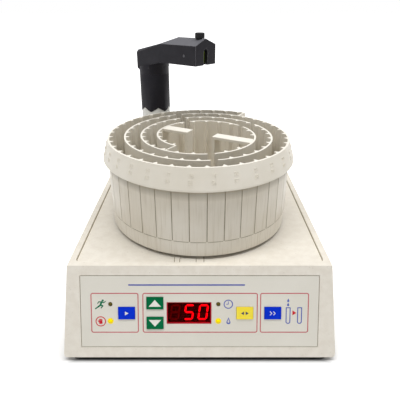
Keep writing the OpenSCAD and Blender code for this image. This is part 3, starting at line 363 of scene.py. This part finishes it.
# cast acrylic, dyed yellow-green: patchy, with a wet look
formerAcrylic = mouldedPlastic("castYellowGreenAcrylic", {
    "base": "8FA51F", "tone": "5E7A14", "blotch": 1.6, "grain": 0.7, "depth": 0.12,
    "roughness": 0.22, "ior": 1.49,
})
# moulded polycarbonate: glossy red
rockerPolycarbonate = mouldedPlastic("glossPolycarbonateRocker", {
    "base": "B3201A", "tone": "A81A15", "blotch": 8, "grain": 1, "depth": 0.004,
    "roughness": 0.2, "ior": 1.58,
})
# epoxy potted round the display: nearly black behind the red window
displayResin = mouldedPlastic("pottedDisplayResin", {
    "base": "3A0508", "tone": "300407", "blotch": 6, "grain": 0.6, "depth": 0.01,
    "roughness": 0.45, "ior": 1.52, "gleam": 0.05,
})
# diffused epoxy: lit segments glow a clean red, the dark ones take a little of it
diffusedEpoxy = {"blotch": 3, "roughness": 0.25, "ior": 1.5, "gleam": 0.05}
litSegment = glowingPlastic("litDisplaySegment", {
    **diffusedEpoxy, "base": "FF1A3C", "tone": "FF2A48", "glow": 2.2,
})
darkSegment = glowingPlastic("unlitDisplaySegment", {
    **diffusedEpoxy, "base": "6A0A12", "tone": "740C14", "glow": 0.25,
})
litLamp = glowingPlastic("litAmberLamp", {
    **diffusedEpoxy, "base": "E4C600", "tone": "EAD200", "blotch": 1.2, "glow": 0.5,
})
# the printed film round a lit lamp glows: a painted halo of the lamp's light
paintedLampHalo = glowingPlastic("paintedLampHaloOnFilm", {
    **diffusedEpoxy, "base": "E6CF30", "tone": "E0C840", "blotch": 1, "glow": 0.35,
})
# the same epoxy with its lamp off: a dull brown dome
darkLamp = mouldedPlastic("unlitAmberLamp", {
    "base": "665A24", "tone": "53481A", "blotch": 1.2, "grain": 0.5, "depth": 0.01,
    "roughness": 0.25, "ior": 1.55, "gleam": 0.08,
})
print("materials made")

cadFinish = {
    caseAbs: ["case_shell", "index_plate"],
    panPolystyrene: ["base_pan"],
    footRubber: ["feet"],
    zincPlate: ["pan_screws", "board_screws", "rear_screws", "plate_screws", "turntable_screw"],
    overlayFilm: ["front_overlay"],
    windowAcrylic: ["display_window"],
    displayResin: ["display_module"],
    litSegment: ["digits_lit"],
    darkSegment: ["digit_unlit"],
    litLamp: ["lamps_lit"],
    darkLamp: ["lamps_dark"],
    blueFilm: ["key_run", "key_advance"],
    greenFilm: ["key_up", "key_down"],
    yellowFilm: ["key_mode"],
    solderMask: ["control_board", "drop_sensor"],
    blackAbs: ["key_switches", "power_jack", "switch_bezel", "rack_sensor", "thumb_screw"],
    rearPowderCoat: ["rear_plate"],
    nickelPlate: ["signal_socket"],
    rockerPolycarbonate: ["rocker"],
    brushedSteel: ["drive_plate", "post_washer"],
    motorPaint: ["motor"],
    groundSteel: ["motor_shaft", "spindle"],
    turnedBrass: ["pinion", "spindle_bush", "lower_bush", "plate_posts"],
    gearAcetal: ["drive_gear", "post_bush"],
    oiledSpringSteel: ["spindle_clip", "post_clip", "arm_pins", "side_screw"],
    turntableAbs: ["turntable"],
    rackPolypropylene: [
        "rack_rim_wall", "rack_lane_outer", "rack_lane_inner", "rack_floor", "rack_grips",
    ],
    postAcetal: ["crown_post"],
    armNylon: ["arm_sleeve", "arm_body"],
    formerAcrylic: ["drop_former"],
}

# width in mm of the rounded edge that each moulding shows
edgeRounds = {
    "case_shell": 0.7, "arm_body": 0.4, "arm_sleeve": 0.35, "crown_post": 0.25,
    "feet": 0.8, "rear_plate": 0.3, "switch_bezel": 0.3, "rocker": 0.5, "index_plate": 0.15,
    "key_run": 0.3, "key_up": 0.3, "key_down": 0.3, "key_mode": 0.3, "key_advance": 0.3,
    "drop_former": 0.3, "rack_grips": 0.35,
}
roundLook = {"weld": 0.002, "segments": 2, "sharp": 35}  # mm, count, degrees


def roundEdges(piece, width):
    weld = piece.modifiers.new("weld", "WELD")
    weld.merge_threshold = roundLook["weld"] * mm
    bevel = piece.modifiers.new("edges", "BEVEL")
    bevel.width = width * mm
    bevel.segments = roundLook["segments"]
    bevel.limit_method = "ANGLE"
    bevel.angle_limit = math.radians(roundLook["sharp"])
    bevel.miter_outer = "MITER_ARC"
    bevel.harden_normals = False


for material, names in cadFinish.items():
    for name in names:
        nodes[name].data.materials.clear()
        nodes[name].data.materials.append(material)
for name, width in edgeRounds.items():
    roundEdges(nodes[name], width)
print("finishes set on the frame's nodes")


def addPiece(name, points, faces, material, body, slotName):
    # points are in mm, in the frame
    mesh = bpy.data.meshes.new(name)
    mesh.from_pydata([Vector(p) * mm for p in points], [], faces)
    mesh.validate()
    mesh.materials.append(material)
    piece = bpy.data.objects.new(name, mesh)
    bpy.context.scene.collection.objects.link(piece)
    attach(piece, body)
    return piece


def curveMesh(curve):
    # a flat curve or text object as points and faces, in its own mm
    holder = bpy.data.objects.new("holder", curve)
    bpy.context.scene.collection.objects.link(holder)
    bpy.context.view_layer.update()
    mesh = bpy.data.meshes.new_from_object(holder)
    points = [v.co.copy() for v in mesh.vertices]
    faces = [tuple(f.vertices) for f in mesh.polygons]
    bpy.data.objects.remove(holder)
    bpy.data.curves.remove(curve)
    bpy.data.meshes.remove(mesh)
    return points, faces


crossingStep = 0.12  # each layer of a print is this share thicker, so that crossing bars share no face


def flatPiece(name, layers, place, thickness, material, body, slotName):
    # layers are lists of closed outlines in mm; an outline inside another is a hole
    points, faces = [], []
    for level, outlines in enumerate(layers):
        curve = bpy.data.curves.new(name, "CURVE")
        curve.dimensions = "2D"
        curve.fill_mode = "BOTH"
        curve.extrude = thickness / 2 * (1 + crossingStep * level)
        for outline in outlines:
            spline = curve.splines.new("POLY")
            spline.points.add(len(outline) - 1)
            for point, (x, y) in zip(spline.points, outline):
                point.co = (x, y, 0, 1)
            spline.use_cyclic_u = True
        found, links = curveMesh(curve)
        faces += [tuple(i + len(points) for i in face) for face in links]
        points += [place @ (p + Vector((0, 0, thickness / 2))) for p in found]
    return addPiece(name, points, faces, material, body, slotName)


def arcPoints(x, y, radius, start=0, end=360, count=32):
    # a whole circle doesn't repeat its first point
    sweep = end - start
    turns = [math.radians(start + sweep * i / count) for i in range(count + (sweep < 360))]
    return [(x + radius * math.cos(a), y + radius * math.sin(a)) for a in turns]


def roundBox(x, y, width, height, radius):
    corners = [(1, 1, 0), (-1, 1, 90), (-1, -1, 180), (1, -1, 270)]
    outline = []
    for sx, sy, start in corners:
        cx, cy = x + sx * (width / 2 - radius), y + sy * (height / 2 - radius)
        outline += arcPoints(cx, cy, radius, start, start + 90, 6)
    return outline


def boxLine(x, y, width, height, radius, line):
    # a line round a box, as its outer and inner outline
    return [
        roundBox(x, y, width, height, radius),
        roundBox(x, y, width - 2 * line, height - 2 * line, max(radius - line, 0.1)),
    ]


def ringLine(x, y, radius, line):
    # a line round a circle, as its outer and inner outline
    return [arcPoints(x, y, radius), arcPoints(x, y, radius - line)]


def stroke(x0, y0, x1, y1, width):
    # a bar with round ends
    turn = math.degrees(math.atan2(y1 - y0, x1 - x0))
    near = arcPoints(x0, y0, width / 2, turn + 90, turn + 270, 8)
    return [near + arcPoints(x1, y1, width / 2, turn - 90, turn + 90, 8)]


def dropOutline(x, y, width, height):
    # a round foot whose shoulders run into a point
    radius, shoulder = width / 2, 35
    foot = arcPoints(x, y - height / 2 + radius, radius, -180 - shoulder, shoulder, 20)
    return foot + [(x, y + height / 2)]


# the print on the front film: across is from its middle, down along it from the case's top edge
panel = {
    "tilt": 20,          # degrees from upright
    "top": 82,           # mm, height of the case's top edge
    "topY": -107.61,     # mm, where the front face meets the top
    "ink": 0.05,         # mm thick
    "line": 0.85,
    "boxes": [(-74.6, 42), (0.4, 101.2), (74.45, 42.7)],  # middle across, width
    "boxTop": 24.3,
    "boxLow": 60.4,
    "boxRound": 2,
    "rule": (-11.4, 17.2, 102, 1.1),  # across, down, length, width
    "ruleRound": 0.4,
    "lampReach": (1.8, 2.7),          # the painted halo ring's inner and outer radius
    "edge": 0.25,
    "edgeRound": 1,
}
panelPlace = Matrix.Translation((0, panel["topY"], panel["top"])) @ Matrix.Rotation(
    math.radians(90 - panel["tilt"]), 4, "X")


def panelSpan(name):
    # a node's low and high corners along the panel: across, up and proud of the face
    points = [panelPlace.inverted() @ (v.co / mm) for v in nodes[name].data.vertices]
    return [Vector([pick(p[i] for p in points) for i in range(3)]) for pick in (min, max)]


def onPanel(across, down, proud):
    return panelPlace @ Matrix.Translation((across, -down, proud))


def printOnFilm(name, across, down, layers, material, slotName="overlay_film"):
    place = onPanel(across, down, panelSpan("front_overlay")[1].z)
    return flatPiece(name, layers, place, panel["ink"], material, "case", slotName)


def printPanelLines():
    middle = (panel["boxTop"] + panel["boxLow"]) / 2
    height = panel["boxLow"] - panel["boxTop"]
    for i, (across, width) in enumerate(panel["boxes"]):
        outline = boxLine(0, 0, width, height, panel["boxRound"], panel["line"])
        printOnFilm(f"group_line_{i + 1}", across, middle, [outline], redLineInk)

    low, high = panelSpan("front_overlay")
    middle, size = (low + high) / 2, high - low
    # painted shade along the film's recessed edge
    edge = boxLine(0, 0, size.x, size.y, panel["edgeRound"], panel["edge"])
    printOnFilm("film_edge_shade", middle.x, -middle.y, [edge], dustAndPaintedShade)

    low, high = panelSpan("lamps_lit")
    near, far = panel["lampReach"]
    radius, down = (high.y - low.y) / 2, -(low.y + high.y) / 2
    for i, across in enumerate((low.x + radius, high.x - radius)):
        ring = [arcPoints(0, 0, far), arcPoints(0, 0, near)]
        printOnFilm(f"lamp_glow_{i + 1}", across, down, [ring], paintedLampHalo, "lamp_lit")

    across, down, length, width = panel["rule"]
    rule = roundBox(0, 0, length, width, panel["ruleRound"])
    printOnFilm("plain_rule", across, down, [[rule]], ruleInk)


icons = {  # mm across and down on the film, then sizes
    "line": 0.8,
    "runner": (-87.1, 34.6),
    "limbs": [  # bars from and to a point, and their width, in mm from the figure's middle
        (-4.3, -3.9, -1.9, -2.2, 1.1), (-1.9, -2.2, 0.1, -0.7, 1.4), (0.1, -0.7, 1.0, 2.0, 1.7),
        (0.1, -0.7, 2.0, -1.4, 1.3), (2.0, -1.4, 0.7, -3.2, 1.0), (0.9, 2.1, -1.4, 2.3, 0.9),
        (-1.4, 2.3, -2.3, 0.9, 0.8), (0.9, 2.0, 2.9, 1.5, 0.9), (2.9, 1.5, 4.4, 2.6, 0.8),
    ],
    "head": (2.1, 3.4, 0.95),
    "stop": (-87.1, 50.1, 4.6),
    "palm": (0, -0.9, 3, 2.8, 0.9),
    "thumb": (-1.5, -0.4, -2.2, 0.6, 0.8),
    "fingers": {  # foot and tip are the first one's across, the step to the next, and up
        "count": 4, "foot": (-1.1, 0.75, 0.2), "tip": (-1.2, 0.8, 1.6), "arch": 0.5, "width": 0.65,
    },
    "clock": (25.2, 34.5, 4.1),
    "hands": (0.62, 0.42, 0.5),  # shares of the radius, width
    "drop": (25.4, 49.5, 3.5, 6.3),
    "dropInner": (-0.15, 3.2),   # its inner outline: mm up, and how many lines less high
    "tubes": [(77.8, 44.8), (87.9, 44.8)],
    "tube": (4.2, 15),
    "arrow": (83.3, 42.4, 3.4, 4.4),
    "falling": [(77.7, 30.9), (77.7, 34.6)],
    "fallingDrop": (1.9, 3.3),
}


def fingerBars(look):
    # upright bars, the middle ones longer
    (footX, footStep, footY), (tipX, tipStep, tipY) = look["foot"], look["tip"]
    bars = []
    for i in range(look["count"]):
        arch = look["arch"] * math.sin(math.pi * (i + 0.5) / look["count"])
        bars.append(stroke(footX + footStep * i, footY, tipX + tipStep * i, tipY + arch, look["width"]))
    return bars


def tubeOutline(width, height, inset):
    # a test tube seen from the side, open at the top
    half, foot = width / 2 - inset, -height / 2 + width / 2
    low = arcPoints(0, foot, half, 180, 360, 14)
    return [(-half, height / 2 - inset)] + low + [(half, height / 2 - inset)]


def printIcons():
    line = icons["line"]
    figure = [stroke(*bar) for bar in icons["limbs"]] + [[arcPoints(*icons["head"])]]
    printOnFilm("running_figure", *icons["runner"], figure, greenInk)

    across, down, radius = icons["stop"]
    palm = [[roundBox(*icons["palm"])], stroke(*icons["thumb"])] + fingerBars(icons["fingers"])
    printOnFilm("stop_ring", across, down, [ringLine(0, 0, radius, line)], redInk)
    printOnFilm("stop_hand", across, down, palm, redInk)

    across, down, radius = icons["clock"]
    long, short, width = icons["hands"]
    hands = [stroke(0, 0, 0, radius * long, width), stroke(0, 0, -radius * short, 0, width)]
    printOnFilm("clock_face", across, down, [ringLine(0, 0, radius, line)] + hands, blueLineInk)

    across, down, width, height = icons["drop"]
    shift, lines = icons["dropInner"]
    inner = dropOutline(0, shift, width - 2 * line, height - lines * line)
    printOnFilm("drop_outline", across, down, [[dropOutline(0, 0, width, height), inner]], blueLineInk)

    for i, (across, down) in enumerate(icons["tubes"]):
        tube = [tubeOutline(*icons["tube"], inset) for inset in (0, line)]
        printOnFilm(f"tube_outline_{i + 1}", across, down, [tube], blueLineInk)
    across, down, width, height = icons["arrow"]
    arrow = [(-width / 2, height / 2), (-width / 2, -height / 2), (width / 2, 0)]
    printOnFilm("next_arrow", across, down, [[arrow]], redInk)
    for i, (across, down) in enumerate(icons["falling"]):
        drop = dropOutline(0, 0, *icons["fallingDrop"])
        printOnFilm(f"falling_drop_{i + 1}", across, down, [[drop]], blueLineInk)


legends = {  # shape, ink and slot of what each key carries
    "key_run": ("play", whiteInk, "key_blue"),
    "key_up": ("up", whiteInk, "key_green"),
    "key_down": ("down", whiteInk, "key_green"),
    "key_mode": ("turns", greyInk, "key_yellow"),
    "key_advance": ("chevrons", whiteInk, "key_blue"),
}
legendShapes = {
    "play": [[[(-1.3, 1.7), (-1.3, -1.7), (1.8, 0)]]],
    "up": [[[(-5.4, -3), (5.4, -3), (0, 3.1)]]],
    "down": [[[(-5.4, 3), (0, -3.1), (5.4, 3)]]],
    "turns": [[[(-3.4, 0), (-0.7, 1.6), (-0.7, -1.6)]], [[(3.4, 0), (0.7, -1.6), (0.7, 1.6)]]],
    "chevrons": [stroke(-2.4, 1.5, -0.9, 0, 0.6), stroke(-0.9, 0, -2.4, -1.5, 0.6),
                 stroke(0.6, 1.5, 2.1, 0, 0.6), stroke(2.1, 0, 0.6, -1.5, 0.6)],
}


def printLegends():
    for key, (shape, ink, slotName) in legends.items():
        low, high = panelSpan(key)
        middle = (low + high) / 2
        flatPiece(
            key.replace("key", "legend"), legendShapes[shape], onPanel(middle.x, -middle.y, high.z),
            panel["ink"], ink, key, slotName)


printPanelLines()
printIcons()
printLegends()
print("panel printed")


# what the rack shows outside: a panelled drum under a numbered collar, on the spiral's rim wall
rack = {
    "axis": (2.2, -5),      # mm, the spiral's pole
    "join": 59,             # degrees, line on which the half turns join
    "step": 4,              # the half turns' centres lie this far off the pole
    "radii": (94.3, 86.3),  # middle of the rim wall's two half turns
    "halfWall": 0.9,
    "skin": 0.5,            # the drum stands this far off the wall's face
    "rim": 168.5,
    "low": 84,
    "band": 14,
    "collar": 20.2,
    "flare": 5.5,
    "collarFoot": 2.2,
    "pockets": (19, 18),
    "ribPhase": 0.51,
}


def halfTurn(angle):
    # 0 on the rim wall's wide half turn, 1 on the narrow one
    return 0 if angle < 180 else 1


def rimSpot(angle, out, height):
    # a point out mm off the rim wall's middle, at an angle from the join line
    k = halfTurn(angle)
    turn, join = math.radians(angle), math.radians(rack["join"])
    radius = rack["radii"][k] + out
    x = (rack["step"] if k == 0 else -rack["step"]) + radius * math.cos(turn)
    y = radius * math.sin(turn)
    return (
        rack["axis"][0] + x * math.cos(join) - y * math.sin(join),
        rack["axis"][1] + x * math.sin(join) + y * math.cos(join),
        height,
    )


def degreesOf(length, angle):
    # a length along the rim wall, as degrees
    return math.degrees(length / rack["radii"][halfTurn(angle)])


def drumLines():
    # angles of the grooves, one outside each rib
    return [
        180 * k + (j + rack["ribPhase"]) * 180 / rack["pockets"][k]
        for k in (0, 1) for j in range(rack["pockets"][k])
    ]


def stripMesh(points, faces, columns):
    # a closed bar from a list of columns, each the four corners of its section
    first = len(points)
    for column in columns:
        points += column
    for i in range(len(columns) - 1):
        a, b = first + 4 * i, first + 4 * (i + 1)
        faces += [(a + j, b + j, b + (j + 1) % 4, a + (j + 1) % 4) for j in range(4)]
    last = first + 4 * (len(columns) - 1)
    faces += [(first + 3, first + 2, first + 1, first), (last, last + 1, last + 2, last + 3)]


def rimBar(points, faces, span, heights, inner, outer, count):
    # a bar along the rim wall; outer gives how proud its face is, from 0 to 1 of its length
    (start, end), (low, high) = span, heights
    columns = []
    for i in range(count + 1):
        share = i / count
        angle = start + (end - start) * share
        proud = outer(share)
        columns.append([
            rimSpot(angle, inner, low), rimSpot(angle, proud, low),
            rimSpot(angle, proud, high), rimSpot(angle, inner, high),
        ])
    stripMesh(points, faces, columns)


drum = {
    "ends": (0.4, 359.6),  # degrees
    "gap": 0.8,            # mm between two panels
    "edge": 0.42,          # mm, a panel's edges stand this proud
    "middle": 0.16,        # and its middle this much, so that each reads as flat
    "sunk": 0.1,           # its back lies this deep in the skin
    "tucked": 0.2,         # its top ends this far up inside the collar
    "steps": 6,
    "dustAndPaintedLight": 0.04,          # mm thick
    "grooveShadeShort": 0.3,      # the painted shade in a gap ends this far below the panels
    "foot": 0.7,           # mm of painted shade under the panels
    "footLap": 0.05,
}


def makeDrum():
    face = rack["halfWall"] + rack["skin"]
    back = face - drum["sunk"]
    foot = rack["low"] + rack["band"]
    low, high = foot + drum["foot"], rack["rim"] - rack["collar"] + drum["tucked"]
    lines = drumLines()
    ends = [drum["ends"][0]] + lines + [drum["ends"][1]]
    middle, rise = face + drum["middle"], drum["edge"] - drum["middle"]

    points, faces = [], []
    flat = lambda share: middle + rise * (2 * share - 1) ** 2
    for start, end in zip(ends, ends[1:]):
        span = (start + degreesOf(drum["gap"] / 2, start), end - degreesOf(drum["gap"] / 2, end))
        rimBar(points, faces, span, (low, high), back, flat, drum["steps"])
    addPiece("drum_panels", points, faces, panelPolypropylene, "rack", "rack_plastic")

    # painted shade: dark strips in the gaps between the panels and under them
    points, faces = [], []
    dustAndPaintedLight = lambda share: face + drum["dustAndPaintedLight"]
    for angle in lines:
        half = degreesOf(drum["gap"] / 2, angle)
        heights = (low, high - drum["grooveShadeShort"])
        rimBar(points, faces, (angle - half, angle + half), heights, back, dustAndPaintedLight, 1)
    for start, end in zip(ends, ends[1:]):
        span = (start + degreesOf(drum["gap"], start), end - degreesOf(drum["gap"], end))
        rimBar(points, faces, span, (foot, low + drum["footLap"]), back, dustAndPaintedLight, drum["steps"])
    addPiece("drum_grooves", points, faces, dustAndPaintedShade, "rack", "rack_plastic")


numberLook = {
    "size": 4.4, "relief": 0.35, "pitch": 18.4,  # mm
    "first": 14.1, "last": 352,                  # degrees
    "rows": (6.3, 11.8),                         # mm below the rim
    "turn": 37,                                  # tubes in the outer turn
    "curveSteps": 3,
}


def collarOut(depth):
    # how far the flared collar stands off the wall's middle, depth mm below the rim
    return rack["halfWall"] + rack["flare"] * depth / (rack["collar"] - rack["collarFoot"])


def makeNumbers():
    # plain raised numbers in two rows, bent round the collar
    points, faces = [], []
    angle, number = numberLook["first"], 1
    while angle < numberLook["last"]:
        for row, depth in enumerate(numberLook["rows"]):
            text = bpy.data.curves.new("number", "FONT")
            text.body = str(number + row * numberLook["turn"])
            text.size = numberLook["size"]
            text.align_x = "CENTER"
            text.align_y = "CENTER"
            text.extrude = numberLook["relief"]
            text.resolution_u = numberLook["curveSteps"]
            found, links = curveMesh(text)
            faces += [tuple(i + len(points) for i in face) for face in links]
            for p in found:
                below = depth - p.y
                at = angle + degreesOf(p.x, angle)
                points.append(rimSpot(at, collarOut(below) + p.z, rack["rim"] - below))
        angle += degreesOf(numberLook["pitch"], angle)
        number += 1
    addPiece("collar_numbers", points, faces, rackPolypropylene, "rack", "rack_plastic")


makeDrum()
makeNumbers()
print("rack dressed")


# dark lines on the deck: dust along the foot of the raised rail, and painted shade in the marks cut into
# the index plate
deck = {
    "height": 80.5, "half": 110, "front": -102.11, "back": 130.5, "round": 6, "line": 0.8,  # mm
    # across, and from where to where along the case
    "marks": [(-22.4, -101.6, -92), (-17.8, -100.2, -95), (-3.1, -100.6, -94.6), (3.8, -101.6, -92)],
    "mark": 0.6,
    "dustAndPaintedLight": 0.04,
}


def makeDeckLine():
    middle, depth = (deck["front"] + deck["back"]) / 2, deck["back"] - deck["front"]
    outline = boxLine(0, middle, 2 * deck["half"], depth, deck["round"], deck["line"])
    place = Matrix.Translation((0, 0, deck["height"]))
    flatPiece("rail_dust", [outline], place, deck["dustAndPaintedLight"], dustAndPaintedShade, "case", "case_plastic")
    marks = [stroke(x, start, x, end, deck["mark"]) for x, start, end in deck["marks"]]
    place = Matrix.Translation((0, 0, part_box("index_plate")[1].z / mm))
    flatPiece("index_marks", marks, place, deck["dustAndPaintedLight"], dustAndPaintedShade, "case", "case_plastic")


knob = {
    "ridges": 36, "depth": 0.35, "chamfer": 0.6, "dish": 0.5, "dishRound": 1.56,
    "height": 5.5, "radius": 5, "shaft": 2,
}


def ringsToMesh(rings):
    # rings of equal length, closed at both ends
    count = len(rings[0])
    points = [p for ring in rings for p in ring]
    faces = []
    for i in range(len(rings) - 1):
        for j in range(count):
            a, b = i * count + j, i * count + (j + 1) % count
            faces.append((a, b, b + count, a + count))
    faces.append(tuple(range(count))[::-1])
    faces.append(tuple(range((len(rings) - 1) * count, len(rings) * count)))
    return points, faces


def makeKnob():
    low, high = (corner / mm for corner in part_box("thumb_screw"))
    x, y = (low.x + high.x) / 2, (low.y + high.y) / 2
    r, under, chamfer = knob["radius"], high.z - knob["height"], knob["chamfer"]
    levels = [  # radius, height, share of the ridges' depth
        (knob["shaft"], low.z, 0), (knob["shaft"], under, 0), (r - chamfer, under, 0),
        (r, under + chamfer, 1), (r, high.z - chamfer, 1),
        (r - chamfer, high.z, 0), (r - 2 * chamfer, high.z, 0),
        (r - knob["dishRound"], high.z - knob["dish"], 0),
    ]
    rings = []
    for radius, height, share in levels:
        ring = []
        for i in range(2 * knob["ridges"]):
            a = math.pi * i / knob["ridges"]
            cut = radius - (knob["depth"] * share if i % 2 else 0)
            ring.append((x + cut * math.cos(a), y + cut * math.sin(a), height))
        rings.append(ring)
    piece = addPiece("knurled_thumb_screw", *ringsToMesh(rings), blackAbs, "thumb_screw", "black_plastic")
    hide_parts("thumb_screw")


crossHead = {
    "points": 32,
    "slot": 0.252, "reach": 0.62, "taper": 0.8,   # the recess, as shares of the radius
    "dome": [(1, 0.4), (0.8, 0.85), (0.7, 1)],    # shares of the radius and of the height
    "depth": 0.9,                                 # mm
}
rearScrews = {"radius": 2.4, "height": 0.9, "shaft": 1.5}
panScrews = {"radius": 3, "height": 1.8, "shaft": 1.5}


def makeCrossHeads(name, node, seats, turn, length, look):
    # domed screw heads with a crossed recess; turn carries +Z to the way they face
    radius, height, shaft = look["radius"], look["height"], look["shaft"]
    levels = [  # radius, height over the seat, whether the cross is cut there
        (shaft, -length, False), (shaft, 0, False), (radius, 0, False),
        *((radius * out, height * up, False) for out, up in crossHead["dome"]),
        (radius, height, True), (radius * crossHead["taper"], height - crossHead["depth"], True),
    ]
    points, faces = [], []
    for seat in seats:
        rings = []
        for r, z, crossed in levels:
            ring = []
            for i in range(crossHead["points"]):
                a = 2 * math.pi * i / crossHead["points"]
                share = 1
                if crossed:  # three points of every eight reach out, which makes four arms
                    share = crossHead["reach"] if i % 8 in (7, 0, 1) else crossHead["slot"]
                spot = Vector((r * share * math.cos(a), r * share * math.sin(a), z))
                ring.append(Vector(seat) + turn @ spot)
            rings.append(ring)
        found, links = ringsToMesh(rings)
        faces += [tuple(i + len(points) for i in face) for face in links]
        points += found
    piece = addPiece(name, points, faces, zincPlate, "case", "zinc_steel")
    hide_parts(node)


def makeScrews():
    # one screw in each corner of its node's box
    low, high = (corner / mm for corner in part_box("rear_screws"))
    r, seat = rearScrews["radius"], high.y - rearScrews["height"]
    seats = [(x, seat, z) for x in (low.x + r, high.x - r) for z in (low.z + r, high.z - r)]
    turn = Matrix.Rotation(-math.pi / 2, 3, "X")
    makeCrossHeads("rear_cross_screws", "rear_screws", seats, turn, seat - low.y, rearScrews)

    low, high = (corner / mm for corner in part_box("pan_screws"))
    r, seat = panScrews["radius"], low.z + panScrews["height"]
    seats = [(x, y, seat) for x in (low.x + r, high.x - r) for y in (low.y + r, high.y - r)]
    turn = Matrix.Rotation(math.pi, 3, "X")
    makeCrossHeads("pan_cross_screws", "pan_screws", seats, turn, high.z - seat, panScrews)


makeDeckLine()
makeKnob()
makeScrews()
print("deck, knob and screws made")


# a white paper sweep with a painted contact shadow, under soft light from all round and one wide lamp
# overhead
studio = {
    "floorTone": "F4F4F4", "paintedContactShadowTone": "2E2E2E", "ambient": 0.40,
    "floorHalf": 6,                 # metres
    "half": (118, 134),             # mm, half the case's footprint
    "contact": (-0.5, 5),           # mm past its front and back, where the painted shadow line fades out
    "corner": (-14, 0),             # mm past its sides, where that line ends
    "glowNear": (0, 14, 0, 0.22),   # mm from, mm to, strength from, strength to
    "glowFar": (14, 110, 0, 0.8),
}
overhead = {"place": (0.04, -0.18, 1.4), "aim": (0, 0, 0.1), "size": (1.9, 0.3), "power": 17}  # m, W


def seenDirectly(tree):
    # 1 where the camera, a reflection or a clear piece looks, 0 where light is gathered
    path = addNode(tree, "LightPath")
    direct = path.outputs["Is Camera Ray"]
    for kind in ("Is Glossy Ray", "Is Transmission Ray"):
        direct = addNode(tree, "Math", {0: direct, 1: path.outputs[kind]}, operation="MAXIMUM").outputs[0]
    return direct


def makeWorld():
    world = bpy.data.worlds.new("studio")
    world.use_nodes = True
    tree = world.node_tree
    tree.nodes.clear()
    shown = addNode(tree, "Background", {"Color": (1, 1, 1, 1), "Strength": 1})
    gathered = addNode(tree, "Background", {"Color": (1, 1, 1, 1), "Strength": studio["ambient"]})
    mixed = addNode(tree, "MixShader", {
        0: seenDirectly(tree), 1: gathered.outputs[0], 2: shown.outputs[0],
    })
    addNode(tree, "OutputWorld", {"Surface": mixed.outputs[0]})
    bpy.context.scene.world = world


def makeFloor():
    material, tree = emptyMaterial("whitePaperSweep")
    place = addNode(tree, "SeparateXYZ", {0: addNode(tree, "TexCoord").outputs["Object"]})
    outside = []
    for axis, half in zip("XY", studio["half"]):
        reached = addNode(tree, "Math", {0: place.outputs[axis]}, operation="ABSOLUTE").outputs[0]
        past = addNode(tree, "Math", {0: reached, 1: half * mm}, operation="SUBTRACT")
        outside.append(past.outputs[0])

    # a painted contact shadow: the paper is darker where the case nearly touches it
    bare = []
    for past, (start, end) in zip(outside, (studio["corner"], studio["contact"])):
        bare.append(addNode(tree, "MapRange", {0: past, 1: start * mm, 2: end * mm}).outputs[0])
    clear = addNode(tree, "Math", {0: bare[0], 1: bare[1]}, operation="MAXIMUM").outputs[0]
    tone = layTone(tree, srgb(studio["paintedContactShadowTone"]), studio["floorTone"], clear, 0, 1)
    paper = addNode(tree, "BsdfDiffuse", {"Color": tone})

    # its own light grows away from the case, and only what looks at it directly sees that
    away = addNode(tree, "Math", {0: outside[0], 1: outside[1]}, operation="MAXIMUM").outputs[0]
    glow = []
    for name in ("glowNear", "glowFar"):
        start, end, low, high = studio[name]
        part = addNode(tree, "MapRange", {0: away, 1: start * mm, 2: end * mm, 3: low, 4: high})
        glow.append(part.outputs[0])
    strength = addNode(tree, "Math", {0: glow[0], 1: glow[1]}, operation="ADD").outputs[0]
    shine = addNode(tree, "Emission", {"Color": (1, 1, 1, 1), "Strength": strength})
    both = addNode(tree, "AddShader", {0: paper.outputs[0], 1: shine.outputs[0]})
    surface = addNode(tree, "MixShader", {0: seenDirectly(tree), 1: paper.outputs[0], 2: both.outputs[0]})
    addNode(tree, "OutputMaterial", {"Surface": surface.outputs[0]})

    mesh = bpy.data.meshes.new("floor")
    wide = studio["floorHalf"]
    corners = [(-wide, -wide, 0), (wide, -wide, 0), (wide, wide, 0), (-wide, wide, 0)]
    mesh.from_pydata(corners, [], [(0, 1, 2, 3)])
    mesh.materials.append(material)
    floor = bpy.data.objects.new("floor", mesh)
    bpy.context.scene.collection.objects.link(floor)


def makeLamp(name, look):
    # a wide lamp that faces its aim
    data = bpy.data.lights.new(name, "AREA")
    data.shape = "RECTANGLE"
    data.size, data.size_y = look["size"]
    data.energy = look["power"]
    lamp = bpy.data.objects.new(name, data)
    lamp.location = look["place"]
    lamp.rotation_euler = (Vector(look["place"]) - Vector(look["aim"])).to_track_quat("Z", "Y").to_euler()
    bpy.context.scene.collection.objects.link(lamp)


makeWorld()
makeFloor()
makeLamp("overhead", overhead)
bpy.context.scene.view_settings.view_transform = "Standard"
print("floor and lights made")
